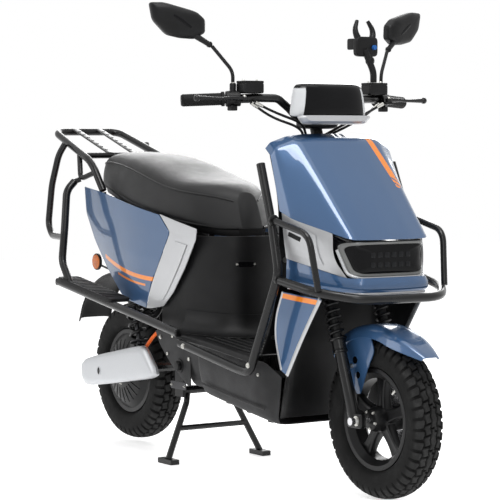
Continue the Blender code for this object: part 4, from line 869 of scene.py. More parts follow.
def belly(thick):
    """The belly tray: cross-sections with rounded lower corners, from the nose to the pivot, with
    a seam line and bolts on each side and three small feet below."""
    rows = [half_row([(0.392, 0.167, 0.299), (0.386, 0.168, 0.240), (0.366, 0.160, 0.188),
                      (0.352, 0.142, 0.1715), (0.352, 0.0, 0.1715)])]
    for x, side, low, top in ((0.345, 0.186, 0.172, 0.334), (0.300, 0.191, 0.179, 0.3365),
                              (0.250, 0.192, 0.186, 0.344), (0.150, 0.192, 0.200, 0.354),
                              (0.060, 0.190, 0.212, 0.362), (0.020, 0.186, 0.2165, 0.3645),
                              (-0.010, 0.152, 0.219, 0.366), (-0.030, 0.136, 0.220, 0.366),
                              (-0.118, 0.134, 0.222, 0.368)):
        rows.append(half_row([(x, side, top), (x, side - 0.002, (low + top) / 2),
                              (x, side - 0.018, low + 0.014), (x, side - 0.040, low), (x, 0.0, low)]))
    seam = [(0.340, -0.1855, 0.212), (0.300, -0.1885, 0.217), (0.150, -0.1895, 0.236),
            (0.040, -0.1870, 0.250)]
    fittings = [bar(seam, 0.03, 40, 0.0030, 8, flat=0.5, ref=UP)]
    for x, y, z, size in ((0.318, -0.1890, 0.300, 0.005), (0.050, -0.1890, 0.330, 0.005),
                          (-0.070, -0.1345, 0.335, 0.006), (-0.108, -0.1335, 0.300, 0.006)):
        fittings.append(bolt((x, y, z), RIGHT, size))
    patches = [shell(quilt(rows, 90, 72, 0.3, 0.3), thick)] + both(fittings)
    for x in (0.10, 0.20, 0.30):
        under = 0.212 - (x - 0.06) * 0.1404
        patches.append(pillow((x, -0.128, under - 0.003), (0.012, 0.014, 0.006), 0, 0.3))
    piece("belly_skin", patches, "grey bolt", "chassis", "belly_fairing")


class MOPED_OT_leg_panels(bpy.types.Operator):
    """The leg panels with their silver edges, the leg shield, the splash panel and the floor"""
    bl_idname = "moped.leg_panels"
    bl_label = "Leg panels and floor"

    def execute(self, context):
        thick = context.scene.moped_sizes.panel
        leg_panels(thick)
        leg_shield(thick)
        splash_panel(thick)
        floor_board()
        seat_front(thick)
        belly(thick)
        return {"FINISHED"}


def side_panels(thick):
    """The painted tail panels: five lines from the tail forward, each shorter and lower."""
    lines = [
        [(-0.702, -0.127, 0.766), (-0.540, -0.149, 0.750), (-0.370, -0.166, 0.721), (-0.203, -0.171, 0.698)],
        [(-0.694, -0.126, 0.690), (-0.520, -0.152, 0.682), (-0.340, -0.172, 0.668), (-0.141, -0.176, 0.652)],
        [(-0.646, -0.124, 0.610), (-0.510, -0.150, 0.598), (-0.350, -0.172, 0.585), (-0.196, -0.176, 0.570)],
        [(-0.560, -0.134, 0.535), (-0.460, -0.154, 0.525), (-0.350, -0.170, 0.512), (-0.246, -0.174, 0.500)],
        [(-0.420, -0.157, 0.450), (-0.375, -0.162, 0.446), (-0.328, -0.166, 0.440), (-0.280, -0.168, 0.434)]]
    skin = shell(quilt(lines, 60, 52, 0.14, 0.45), thick)
    pair("side_panel_{}", [skin], "tail", "chassis", "rear_side_panel_{}")


def rear_trims(thick):
    """The silver arrow-shaped trims: five short lines, with a raised field in the middle."""
    lines = [[(-0.199, -0.171, 0.700), (-0.112, -0.168, 0.682), (-0.026, -0.160, 0.664)],
             [(-0.137, -0.1755, 0.652), (-0.088, -0.170, 0.643), (-0.032, -0.160, 0.633)],
             [(-0.192, -0.1755, 0.569), (-0.142, -0.170, 0.562), (-0.086, -0.160, 0.555)],
             [(-0.242, -0.1735, 0.499), (-0.196, -0.168, 0.492), (-0.148, -0.160, 0.484)],
             [(-0.276, -0.1675, 0.433), (-0.240, -0.165, 0.436), (-0.198, -0.160, 0.444)]]
    skin = quilt(lines, 60, 26, 0.10, 0.45)
    field = skin[18:54, 9:21] + (0.0, -0.0030, 0.0)
    pair("trim_{}", [shell(skin, thick), shell(field, 0.003)], "silver", "chassis", "rear_trim_{}")


def mudguard():
    """The mudguard: a strip with turned-down edges bent over the wheel, and two round reflectors."""
    rows = [[(x, -w, z - 0.012), (x, -w * 0.9, z), (x, w * 0.9, z), (x, w, z - 0.012)] for x, z, w in
            ((-0.385, 0.330, 0.050), (-0.400, 0.420, 0.052), (-0.460, 0.490, 0.052), (-0.570, 0.515, 0.052),
             (-0.700, 0.508, 0.052), (-0.790, 0.474, 0.052), (-0.848, 0.422, 0.052), (-0.870, 0.358, 0.054))]
    arm = [(-0.655, -0.046, 0.508), (-0.658, -0.085, 0.525), (-0.659, -0.112, 0.538)]
    cup = [(0, 0.0250), (0.005, 0.0250), (0.007, 0.0235), (0.007, 0.020)]
    lens = [(0, 0.0220), (0.002, 0.0215), (0.0035, 0.014), (0.004, 0.001)]
    reflector = [bar(arm, 0.01, 12, 0.006, 10, flat=0.5, ref=AHEAD),
                 lathe((-0.659, -0.110, 0.543), RIGHT, cup, 40),
                 lathe((-0.659, -0.116, 0.543), RIGHT, lens, 40, 1)]
    patches = [shell(quilt(rows, 70, 24, 0.5, 0.3), -0.004)] + both(reflector)
    piece("mudguard_skin", patches, "black amber", "chassis", "rear_mudguard")


def tail_lamp():
    """The tail lamp: rounded oblongs that shrink to the rear, in a dark house."""
    lens = [oblong(x, w, h, z, 64, 0.35) for x, w, h, z in
            ((-0.620, 0.107, 0.057, 0.6775), (-0.650, 0.109, 0.058, 0.6850), (-0.664, 0.106, 0.056, 0.6865),
             (-0.676, 0.096, 0.050, 0.6890), (-0.684, 0.086, 0.044, 0.6910), (-0.689, 0.060, 0.030, 0.6920))]
    house = [oblong(x, w, h, z, 64, 0.35) for x, w, h, z in
             ((-0.594, 0.044, 0.010, 0.672), (-0.619, 0.108, 0.0575, 0.6775),
              (-0.632, 0.1095, 0.0585, 0.680))]
    piece("tail_lamp", [closed_rings(lens), closed_rings(house, 1)], "red black", "chassis", "tail_light")


class MOPED_OT_tail(bpy.types.Operator):
    """The rear side panels, silver trim, mudguard, reflectors and tail lamp"""
    bl_idname = "moped.tail"
    bl_label = "Tail panels"

    def execute(self, context):
        thick = context.scene.moped_sizes.panel
        side_panels(thick)
        rear_trims(thick)
        mudguard()
        tail_lamp()
        return {"FINISHED"}


def cage(radius):
    """The crash bar: a bent tube down each side, a bow and two hoops before the nose, with collars
    where they meet and bolts along the floor."""
    line = [(0.359, -0.211, 0.847), (0.421, -0.218, 0.693), (0.455, -0.221, 0.572), (0.357, -0.230, 0.350),
            (0.338, -0.230, 0.310), (0.290, -0.230, 0.312), (0.000, -0.230, 0.358)]
    bow = [(0.448, -0.222, 0.556), (0.590, -0.200, 0.530), (0.686, -0.118, 0.514), (0.686, 0.118, 0.514),
           (0.590, 0.200, 0.530), (0.448, 0.222, 0.556)]
    hoop = [(0.428, -0.220, 0.706), (0.575, -0.213, 0.674), (0.598, -0.200, 0.534)]
    collar = [(0.0, radius), (0.001, radius * 1.28), (0.004, radius * 1.35), (0.007, radius * 1.28),
              (0.008, radius)]
    patches = both([bar(line, 0.030, 90, radius, 16)])
    patches.append(bar(bow, 0.045, 90, radius, 16, ref=UP))
    patches += both([bar(hoop, 0.032, 40, 0.0085)])
    for x, z in ((0.452, 0.5565), (0.427, 0.7055)):
        patches += both([lathe((x, -0.2205, z), (0.95, 0.06, -0.12), collar, 20)])
    for x, z in ((0.345, 0.330), (0.030, 0.3535)):
        patches += both([bolt((x, -0.2405, z), RIGHT, 0.0055)])
    piece("cage", patches, "tube bolt", "chassis", "crash_bar")


def rack():
    """The luggage rack: a bent loop, a cross bar, two flat straps with dark dots, and two stays."""
    side = np.array([(-0.600, 0.125, 0.757), (-0.648, 0.137, 0.842), (-0.919, 0.112, 0.931)])
    loop = np.vstack([side * MIRROR, side[::-1]])
    patches = [bar(loop, 0.035, 130, 0.011, 16, ref=(0.3, 0.2, 1.0)),
               bar([(-0.705, -0.134, 0.860), (-0.705, 0.134, 0.860)], 0.01, 8, 0.009, ref=UP)]
    dot = [(0, 0.0052), (0.0006, 0.0052), (0.0006, 0.001)]
    for y in (-0.042, 0.042):
        strap = bent([(-0.700, y, 0.8672), (-0.915, y, 0.9385)], 0.01, 40)
        patches.append(tube(strap, 0.013, 16, flat=0.22))
        for t in np.linspace(0.12, 0.88, 7):
            spot = strap[0] + (strap[-1] - strap[0]) * t + (0.0009, 0, 0.0026)
            patches.append(lathe(spot, (0.314, 0, 0.949), dot, 18, 1))
    stay = [(-0.735, -0.129, 0.868), (-0.7056, -0.142, 0.7895), (-0.632, -0.131, 0.812)]
    patches += both([bar(stay, 0.02, 30, 0.008, 12)])
    piece("luggage_rack", patches, "tube black", "chassis", "rear_rack")


def rail(x):
    """Height of the side guards' lower rail, which rises towards the tail."""
    return 0.384 - RAIL_SLOPE * (x + 0.020)


def side_guards(radius):
    """The side guards: a sloping rail, two bent uprights and a link, with a ribbed foot plate."""
    front, rear, plate = -0.020, -0.690, -0.524
    upright = [(-0.715, -0.158, 0.782), (-0.712, -0.186, 0.756), (-0.690, -0.206, 0.640),
               (-0.690, -0.215, 0.545), (-0.618, -0.224, rail(-0.618))]
    grab = [(-0.800, -0.1424, 0.8945), (-0.812, -0.158, 0.862), (-0.834, -0.170, 0.770),
            (-0.850, -0.174, 0.650), (-0.815, -0.180, 0.617), (-0.690, -0.208, 0.617)]
    patches = [bar([(front, RAIL_Y, rail(front)), (rear, RAIL_Y, rail(rear))], 0.01, 20, radius, 16),
               bar(upright, 0.03, 70, radius, 16), bar(grab, 0.03, 80, 0.010, 16),
               bar([(-0.715, -0.158, 0.782), (-0.7056, -0.142, 0.7895)], 0.01, 6, 0.0078, 12)]
    for x in (front, rear):
        patches.append(pillow((x, RAIL_Y, rail(x)), (0.005, 0.0112, 0.0112), 0, 0.6, None, 10, 20))
    slope = unit(np.array([1.0, 0.0, -RAIL_SLOPE]))
    axes = (slope, LEFT, np.cross(slope, LEFT))
    patches.append(pillow((plate, -0.203, rail(plate) + 0.0125), (0.158, 0.035, 0.0058), 1, 0.14, axes,
                          14, 36))
    for x in np.linspace(-0.65, -0.40, 14):
        z = rail(x) + 0.0186
        patches.append(bar([(x, -0.233, z), (x, -0.173, z)], 0.01, 6, 0.0028, 8, look=1, flat=0.6, ref=AHEAD))
    pair("guard_{}", patches, "tube mat", "chassis", "side_guard_{}")


class MOPED_OT_tubes(bpy.types.Operator):
    """The cage, the luggage rack and the side guards with their foot plates"""
    bl_idname = "moped.tubes"
    bl_label = "Tubular cage, rack and guards"

    def execute(self, context):
        radius = context.scene.moped_sizes.cage_radius
        cage(radius)
        rack()
        side_guards(radius)
        return {"FINISHED"}


class MOPED_OT_seat(bpy.types.Operator):
    """The padded seat: a crowned two-step cushion with a side seam, piping and a dark pan"""
    bl_idname = "moped.seat"
    bl_label = "Seat"

    def execute(self, context):
        """One rounded section, scaled at each place along the spine by its half width and height and
        leaned back by its last value. Each row of the spine is x, half width, foot, crown, lean."""
        spine = evenly(np.array([(-0.690, 0.056, 0.792, 0.838, 0.0), (-0.672, 0.092, 0.774, 0.862, 0.0),
                                 (-0.620, 0.103, 0.7655, 0.874, 0.0), (-0.500, 0.133, 0.743, 0.872, 0.0),
                                 (-0.400, 0.151, 0.724, 0.857, 0.0), (-0.310, 0.158, 0.7065, 0.834, 0.0),
                                 (-0.220, 0.157, 0.692, 0.808, 0.05), (-0.130, 0.145, 0.677, 0.797, 0.15),
                                 (-0.070, 0.111, 0.668, 0.791, 0.25), (-0.020, 0.071, 0.661, 0.782, 0.32),
                                 (0.008, 0.033, 0.664, 0.762, 0.35)]), 100, 0.75)
        section = np.array([(-0.94, 0.0), (-0.99, 0.05), (-1.0, 0.22), (-0.975, 0.46), (-0.92, 0.66),
                            (-0.84, 0.84), (-0.62, 0.955), (-0.30, 0.99), (0.0, 1.0)])
        loop = evenly(np.vstack([section, section[-2::-1] * (-1, 1)]), 64, 0.5)
        x, wide, foot, crown, lean = spine.T[:, :, None]
        across, lift = loop.T[:, None, :]
        tall = crown - foot
        rings = np.stack([x - lean * tall * lift, wide * across, foot + tall * lift], axis=-1)
        pad = piece("seat_pad", [closed_rings(rings)], "vinyl", "seat", "seat_cushion", 50.0)

        trim = [tube(rings[3:-3, j] * (1, 1.004, 1), 0.0026, 8, ref=UP) for j in (17, 46)]
        trim += [tube(rings[2:-2, j] + (0, out, 0.001), 0.0045, 10, 1, 0.8, UP)
                 for j, out in ((1, -0.001), (-2, 0.001))]
        base = spine[4:-3, None]
        rim = np.array([(-0.86, 0.004), (-0.88, -0.006), (-0.84, -0.020), (0.84, -0.020), (0.88, -0.006),
                        (0.86, 0.004)])
        pan = np.stack([base[..., 0] + 0 * rim[:, 0], base[..., 1] * rim[:, 0], base[..., 2] + rim[:, 1]],
                       axis=-1)
        trim.append(closed_rings(pan, 1))
        piece("seat_piping", trim, "vinyl black", "seat", None)
        return {"FINISHED"}


def bar_and_grips():
    """The handlebar, one bent tube, and its grips, turned with fine ribs and a flange."""
    half = np.array([GRIP_OUT - GRIP_DIR * 0.004, GRIP_IN - GRIP_DIR * 0.085, (0.318, -0.130, 1.016),
                     (0.306, -0.085, 0.990), BAR_CLAMP + (0, -0.050, 0), BAR_CLAMP + (0, -0.032, 0)])
    line = np.vstack([half, half[::-1] * MIRROR])
    piece("bar_tube", [bar(line, 0.016, 120, 0.011, 16, ref=(0.2, 0, 1))], "tube", "steering", "handlebar")
    rib_pitch = 0.0052
    t = np.linspace(0, 0.112, 140)
    rib = 0.0156 + 0.0005 * (0.5 + 0.5 * np.cos(t * FULL_TURN / rib_pitch)) ** 0.5
    rib = np.where(t < 0.008, 0.019, rib)
    rib = np.where(t > 0.107, 0.0162 - (t - 0.107) * 0.55, rib)
    grip = lathe(GRIP_START, GRIP_DIR, np.column_stack([t, rib]), 32)
    piece("throttle_rubber", [grip], "grip", "throttle", "throttle_grip")
    piece("left_rubber", [twin(grip)], "grip", "steering", "grip_left")


def controls():
    """The brake perches: a clamp, a fluid box with its lid, switches, and the mirror's stem."""
    clamp = [(0, 0.0116), (0, 0.019), (0.002, 0.0205), (0.036, 0.0205), (0.038, 0.019), (0.038, 0.0116)]
    box = PERCH + (0.000, 0.004, 0.012)
    top = PERCH + (0, -0.004, 0.038)
    patches = [lathe(GRIP_START - GRIP_DIR * 0.004, -GRIP_DIR, clamp, 32, 0, True),
               pillow(box + (0.022, 0.031, 0.015), (0.022, 0.031, 0.014), 0, 0.22),
               pillow(box + (0.022, 0.031, 0.0305), (0.0215, 0.0305, 0.0034), 0, 0.18)]
    patches += [bolt(box + (0.022, y, 0.0325), UP, 0.0034) for y in (0.010, 0.052)]
    patches += [pillow(PERCH + (0.030, 0.005, -0.009), (0.024, 0.013, 0.003)),
                lathe(PERCH + (0, -0.004, 0.010), UP, [(0, 0.0085), (0.026, 0.0085), (0.030, 0.007)], 24),
                bar([top, top + (0, 0, 0.032), MIRROR_BALL], 0.02, 40, 0.0048),
                lathe(top + (0, 0, -0.008), UP, [(0, 0.0078), (0.010, 0.0078), (0.012, 0.006)], 6, 1),
                pillow(PERCH + (0.004, -0.008, -0.0245), (0.011, 0.010, 0.007), 0, 0.3),
                lathe(PERCH + (-0.018, 0.0, -0.004), (-1, 0, -0.2),
                      [(0, 0.0062), (0.004, 0.006), (0.005, 0.004)], 20, 2)]
    pair("switch_{}", patches, "black bolt knob", "steering", "control_{}")


def levers():
    """The brake levers: a flattened blade that thins in the middle, with a ball at its tip."""
    hub = PERCH + (0.018, 0.004, -0.006) + np.array([0.026, -0.001, 0.0006])
    tip = np.array([0.300, -0.366, hub[2] + 0.005])
    blade = [hub + (0, -0.004, 0.005), hub + (-0.004, -0.040, 0.006), (hub + tip) / 2 + (0.004, 0, 0.001),
             tip]
    thin = 0.0052 + 0.0010 * np.cos(np.linspace(0, FULL_TURN, 50))
    arc = np.linspace(0.25, math.pi - 0.15, 16)
    ball = np.column_stack([0.009 - 0.009 * np.cos(arc), 0.0088 * np.sin(arc)])
    eye = [(0, 0.0085), (0.0005, 0.009), (0.0085, 0.009), (0.009, 0.0085)]
    patches = [bar(blade, 0.02, 50, thin, flat=0.85, ref=UP), lathe(tip + (0, 0.009, 0), RIGHT, ball, 24),
               lathe(hub, UP, eye, 28), bolt(hub + (0, 0, 0.009), UP, 0.0042)]
    pair("lever_blade_{}", patches, "tube bolt", "lever_{}", "brake_lever_{}")


def mirrors():
    """The mirrors: a rounded outline stacked into a bowl that closes to the front, a glass face, a
    tapered neck on its ball and a gloss line across the back."""
    wide = unit(np.array([-0.036, -0.120, 0.014]))
    up = np.array([0.05, 0.03, 1.0])
    up = unit(up - wide * up.dot(wide))
    ahead = unit(np.cross(up, wide))
    ahead = ahead if ahead[0] > 0 else -ahead
    centre = np.array([0.205, -0.366, 1.207])
    ring = round_loop([(-0.050, -0.034), (-0.012, -0.036), (0.026, -0.032), (0.066, 0.001), (0.080, 0.045),
                       (0.042, 0.050), (-0.046, 0.037), (-0.072, 0.020), (-0.076, -0.014),
                       (-0.050, -0.034)], 90, 0.20)

    def stacked(layers):
        """Copies of the outline at depth d, scaled by s."""
        return [centre + ring[:, :1] * s * wide + ring[:, 1:] * s * up + d * ahead for d, s in layers]

    bowl = stacked([(-0.0115, 0.955), (-0.0122, 0.985), (-0.010, 1.0), (0.004, 1.0), (0.010, 0.955),
                    (0.0145, 0.86), (0.0180, 0.72), (0.0198, 0.50), (0.0200, 0.25)])
    face = stacked([(-0.0118, 0.93), (-0.0128, 0.925), (-0.0129, 0.5), (-0.0129, 0.1)])
    lean = unit(centre - MIRROR_BALL)
    start = MIRROR_BALL + lean * 0.0021
    neck = [start, centre - wide * 0.040 - up * 0.020 + ahead * 0.004]
    groove = [centre + wide * u + up * v + ahead * d for u, v, d in
              ((-0.034, -0.006, 0.0178), (0.0, 0.012, 0.0196), (0.040, 0.030, 0.0150))]
    patches = [closed_rings(bowl), closed_rings(face, 1),
               bar(neck, 0.01, 14, np.linspace(0.0066, 0.0085, 14), 16),
               bar(groove, 0.02, 20, 0.0058, 10, look=2, flat=0.4, ref=up),
               pillow(start + lean * 0.006, (0.0078, 0.0078, 0.0078), 0, 0.8)]
    pair("mirror_{}_shell", patches, "black glass gloss", "mirror_{}", "mirror_head_{}")


def dash_pod():
    """The dash: flat slices stacked upwards, each a pointed oval that reaches forward, over a silver
    lip, with a stay to the bar and a small screen facing the rider."""
    back = 0.354
    turn = round_turn(112)
    across = flat_cos(turn, 0.77)
    along = flat_sin(turn, 0.77)
    slices = np.array([(0.9695, 0.108, 0.390), (0.9720, 0.1155, 0.399), (0.9800, 0.1165, 0.4010),
                       (1.0000, 0.1135, 0.4025), (1.0250, 0.1095, 0.4010), (1.0400, 0.1060, 0.3970),
                       (1.0480, 0.1020, 0.3915), (1.0530, 0.0945, 0.3830), (1.0555, 0.0800, 0.3720),
                       (1.0565, 0.0400, 0.3600)])
    z, wide, nose = evenly(slices, 46, 0.4).T[:, :, None]
    reach = np.where(along > 0, nose - back, 0.009) * along
    patches = [closed_rings(np.stack([back + reach, wide * across, z + 0 * along], axis=-1))]
    top = 0.9720
    lip = np.array([[(x, -w * 0.86, low), (x, 0, low), (x, w * 0.86, low), (x, w, top - 0.006),
                     (x, w * 0.98, top), (x, 0, top), (x, -w * 0.98, top), (x, -w, top - 0.006),
                     (x, -w * 0.86, low)] for x, w, low in
                    ((0.350, 0.082, 0.955), (0.378, 0.112, 0.948), (0.394, 0.114, 0.9505),
                     (0.404, 0.100, 0.957))])
    trim = round_loop(lip.transpose(1, 0, 2), 80, 0.2).transpose(1, 0, 2)
    patches.append(closed_rings(evenly(trim, 16, 0.3), 1))
    stay = [BAR_CLAMP + (0.0246, 0, 0.004), BAR_CLAMP + (0.0400, 0, 0.004), (0.352, 0, 1.000)]
    patches += [bar(stay, 0.01, 16, 0.012, 16),
                pillow(BAR_CLAMP + (0.014, 0, -0.006), (0.036, 0.052, 0.019), 2, 0.45),
                pillow((0.3462, 0.0, 1.008), (0.0020, 0.048, 0.018), 0, 0.2)]
    piece("dash_pod", patches, "pod silver black", "steering", "instrument_pod")


def phone_holder():
    """The phone holder: an arm, a back plate, side jaws, two bowed fingers and a blue knob."""
    arm = [(0.298, 0.196, 1.0620), (0.298, 0.196, 1.090), (0.285, 0.176, 1.150)]
    patches = [bar(arm, 0.012, 24, 0.009, 16), pillow((0.278, 0.184, 1.158), (0.011, 0.036, 0.027), 0, 0.35)]
    for y, inner in ((0.153, 0.157), (0.215, 0.211)):
        patches.append(pillow((0.256, y, 1.165), (0.016, 0.0032, 0.015), 0, 0.3))
        patches.append(pillow((0.243, inner, 1.165), (0.0034, 0.006, 0.014), 0, 0.4))
    for y, bow in ((0.164, -0.012), (0.204, 0.012)):
        finger = [(0.278, y, 1.172), (0.271, y + bow, 1.200), (0.263, y - bow * 0.2, 1.228)]
        patches.append(bar(finger, 0.016, 24, np.linspace(0.0115, 0.0056, 24), 12, flat=0.85, ref=AHEAD))
    t = np.linspace(0, 1, 6)
    knob = np.column_stack([0.012 * t, 0.0060 + 0.0006 * np.cos(t)])
    patches += [lathe((0.284, 0.203, 1.156), AHEAD, knob, 24, 1),
                pillow((0.290, 0.190, 1.120), (0.012, 0.012, 0.012), 0, 0.9)]
    piece("holder_claws", patches, "black knob", "steering", "phone_holder")


class MOPED_OT_bars(bpy.types.Operator):
    """The handlebar, grips, controls with their mirror arms, levers, mirrors, dash and phone holder"""
    bl_idname = "moped.bars"
    bl_label = "Handlebar and controls"

    def execute(self, context):
        bar_and_grips()
        controls()
        levers()
        mirrors()
        dash_pod()
        phone_holder()
        return {"FINISHED"}


class MOPED_OT_cables(bpy.types.Operator):
    """The control cables in front of the bars and the motor's orange lead"""
    bl_idname = "moped.cables"
    bl_label = "Cables"

    def execute(self, context):
        """Tubes along eased lines: two cables a side meet in a knot at the stem, with thick ends."""
        knot = np.array([0.289, 0.0, 0.910])
        patches = [bar([knot + (0, -0.034, 0), knot + (0, 0.034, 0)], 0.01, 8, 0.007, 12, ref=UP)]
        ferrule = np.array([0.0052, 0.0052, 0.0050, 0.0050, 0.0046, 0.0044, 0.0040])
        for s in (-1, 1):
            for shift, drop in ((0.0, 0.0), (0.018, 0.012)):
                route = bent([(PERCH[0] + 0.034 + shift, s * (abs(PERCH[1]) - 0.030), PERCH[2] - 0.0105),
                              (PERCH[0] + 0.040 + shift, s * 0.150, 0.968 + drop),
                              (0.338 + shift * 0.4, s * 0.070, 0.940 + drop),
                              (knot[0], s * (0.026 - shift * 0.6), knot[2])], 0.035, 60)
                patches += [tube(route, 0.0035, 10, ref=UP), tube(route[:7], ferrule, 12, 1, ref=UP)]
        piece("cable_runs", patches, "cable bolt", "steering", "control_cables")
        route = bent([(-0.285, -0.1150, 0.372), (-0.330, -0.1150, 0.346), (-0.372, -0.1150, 0.312),
                      (-0.402, -0.1150, 0.2640)], 0.02, 40)
        patches = [tube(route, 0.005), tube(route[-8:], np.linspace(0.0055, 0.0085, 8), look=1),
                   tube(route[:5], 0.0072, look=1)]
        piece("motor_lead", patches, "orange black", "swing", "motor_cable")
        return {"FINISHED"}


def tyre(end, axle, rim, width, sizes):
    """A tyre: its cross-section swung round the axle and cut into five rows of blocks. Two zigzag
    grooves run round each side, and slanting grooves cross each row, half a block apart from row to
    row. The cut is a smooth step of the distance to the nearest groove, kept as an attribute that the rubber
    uses for painted shade in the grooves."""
    blocks = sizes.tread_blocks
    half = width / 2
    shoulder = 0.034
    blend = 0.0022
    round_groove = 0.0014
    cross_groove = np.array([0.0022, 0.0026, 0.0042])
    outline = np.array([(-0.66, rim + 0.0007), (-0.93, rim + 0.010), (-1.0, rim + 0.030),
                        (-0.985, TYRE_R - shoulder), (-0.94, TYRE_R - 0.020), (-0.76, TYRE_R - 0.008),
                        (-0.38, TYRE_R - 0.0015), (0.0, TYRE_R)])
    outline = np.vstack([outline, outline[-2::-1] * (-1, 1)])
    samples = np.concatenate([np.linspace(0, 3, 14)[:-1], np.linspace(3, 11, 92),
                              np.linspace(11, 14, 14)[1:]])
    side, reach = eased(outline, np.arange(15), samples, 0.4).T[:, None, :]
    far = np.abs(side)
    turn = round_turn(blocks * 20)[:, None]
    lap = turn * blocks / FULL_TURN + 0.25 * (side > 0)
    zigzag = np.abs((lap % 1.0) * 2 - 1) - 0.5
    inner = 0.20 + 0.10 * zigzag
    outer = 0.58 + 0.08 * zigzag
    rows = np.where(far < inner, 0, np.where(far < outer, 1, 2))
    round_cut = np.minimum(np.abs(far - inner), np.abs(far - outer)) * half
    slant = far * np.array([0.2, 0.5, 0.25])[rows]
    phase = (lap * np.where(rows == 0, 0.5, 1.0) + np.where(rows == 1, 0.5, 0.0) + slant) % 1.0
    pitch = FULL_TURN * TYRE_R / blocks * np.where(rows == 0, 2.0, 1.0)
    cross_cut = np.minimum(phase, 1 - phase) * pitch
    gap = np.minimum(round_cut - round_groove, cross_cut - cross_groove[rows])
    cut = smooth(np.clip(0.5 - gap / blend, 0, 1) * np.clip((reach - TYRE_R + shoulder) / 0.010, 0, 1))
    reach = reach - sizes.tread_depth * cut
    grid = np.stack([axle[0] + reach * np.cos(turn), side * half + 0 * turn,
                     axle[2] + reach * np.sin(turn)], axis=-1)
    made = piece(end + "_tread", [hoop_of(grid)], end + "_rubber", end + "_wheel", end + "_tyre",
                 40.0)
    # the cut is kept for the painted shade in the grooves and the painted highlight on the block tops
    made.data.attributes.new("groove", "FLOAT", "POINT").data.foreach_set("value", cut.ravel())


def front_rim():
    """The front rim: a turned ring and hub, and five spokes whose section is a rounded box with a
    hollow down the middle, widening at both ends. Bolts and a valve."""
    ring = np.array([(-0.74, 0.130), (-0.76, 0.126), (-0.74, 0.118), (-0.55, 0.110), (-0.4, 0.104),
                     (0.4, 0.104), (0.55, 0.110), (0.74, 0.118), (0.76, 0.126), (0.74, 0.130),
                     (0.50, 0.130), (0.30, 0.118), (-0.30, 0.118), (-0.50, 0.130)])
    hub = [(-0.046, 0.0068), (-0.046, 0.022), (-0.044, 0.026), (-0.032, 0.031), (-0.020, 0.033),
           (0.046, 0.0316), (0.056, 0.0316), (0.056, 0.0068)]
    patches = [lathe(FRONT_AXLE, LEFT, ring * (FRONT_TYRE_WIDE / 2, 1), 96, 0, True),
               lathe(FRONT_AXLE, LEFT, hub, 48, 0, True)]
    t = np.linspace(0, 1, 26)[:, None]
    u = round_turn(32)
    wide = (0.0125 + 0.006 * (1 - t) ** 3 + 0.010 * t ** 4) * flat_cos(u, 0.45)
    deep = (0.0125 + 0.005 * (1 - t) ** 2) * flat_sin(u, 0.45) * (1 - 0.22 * np.exp(-(np.cos(u) / 0.30) ** 2))
    reach = 0.026 + 0.082 * t
    for angle in np.radians(90 + 72 * np.arange(5)):
        out = spoke(angle, 1.0, 0.0)
        flat = np.cross(out, LEFT)
        patches.append(closed_rings(FRONT_AXLE + reach[..., None] * out + wide[..., None] * flat
                                    + deep[..., None] * LEFT))
    for angle in np.radians(126 + 72 * np.arange(5)):
        patches.append(bolt(FRONT_AXLE + spoke(angle, 0.022, -0.044), RIGHT, 0.0034))
    valve = 0.9
    patches.append(lathe(FRONT_AXLE + spoke(valve, 0.105, -0.010), spoke(valve, -1.0, -0.3),
                         [(0, 0.0042), (0.016, 0.0042), (0.020, 0.003)], 16, 1))
    piece("front_wheel_rim", patches, "wheel bolt", "front_wheel", "front_rim")


def brake_disc():
    """The brake disc: a turned ring with three circles of dark holes on both faces."""
    disc = [(0, 0.0322), (0, 0.0845), (0.0006, 0.085), (0.0034, 0.085), (0.004, 0.0845), (0.004, 0.0322)]
    hole = [(0, 0.0026), (0.0002, 0.0026), (0.0002, 0.0004)]
    patches = [lathe(FRONT_AXLE + (0, 0.051, 0), LEFT, disc, 96, 0, True)]
    for k, angle in enumerate(round_turn(30)):
        far = (0.062, 0.069, 0.076)[k % 3]
        for y, facing in ((0.0550, LEFT), (0.0510, RIGHT)):
            patches.append(lathe(FRONT_AXLE + spoke(angle, far, y), facing, hole, 12, 1))
    piece("disc_rotor", patches, "steel gloss", "front_wheel", "brake_disc")


def hub_motor():
    """The hub motor: a turned case, the same on both sides, with 24 ribs and six bolts a side."""
    half = [(0.062, 0.012), (0.062, 0.044), (0.060, 0.050), (0.054, 0.076), (0.050, 0.090), (0.046, 0.096),
            (0.0345, 0.112), (0.0345, 0.124), (0.032, 0.126)]
    case = [(-along, r) for along, r in half] + half[::-1]
    side = []
    for angle in round_turn(24):
        rib = [REAR_AXLE + spoke(angle, r, -y)
               for r, y in ((0.050, 0.0600), (0.076, 0.0542), (0.094, 0.0472))]
        side.append(bar(rib, 0.01, 10, np.linspace(0.0016, 0.0026, 10), 8))
    for angle in round_turn(6) + math.pi / 6:
        side.append(bolt(REAR_AXLE + spoke(angle, 0.036, -0.0615), RIGHT, 0.0036))
    patches = [lathe(REAR_AXLE, LEFT, case, 96)] + both(side)
    piece("hub_motor_case", patches, "wheel bolt", "rear_wheel", "rear_hub_motor")


class MOPED_OT_wheels(bpy.types.Operator):
    """Both tyres, the five-spoke front rim, the brake disc and the hub motor"""
    bl_idname = "moped.wheels"
    bl_label = "Wheels"

    def execute(self, context):
        sizes = context.scene.moped_sizes
        tyre("front", FRONT_AXLE, FRONT_RIM_R, FRONT_TYRE_WIDE, sizes)
        tyre("rear", REAR_AXLE, REAR_RIM_R, REAR_TYRE_WIDE, sizes)
        front_rim()
        brake_disc()
        hub_motor()
        return {"FINISHED"}


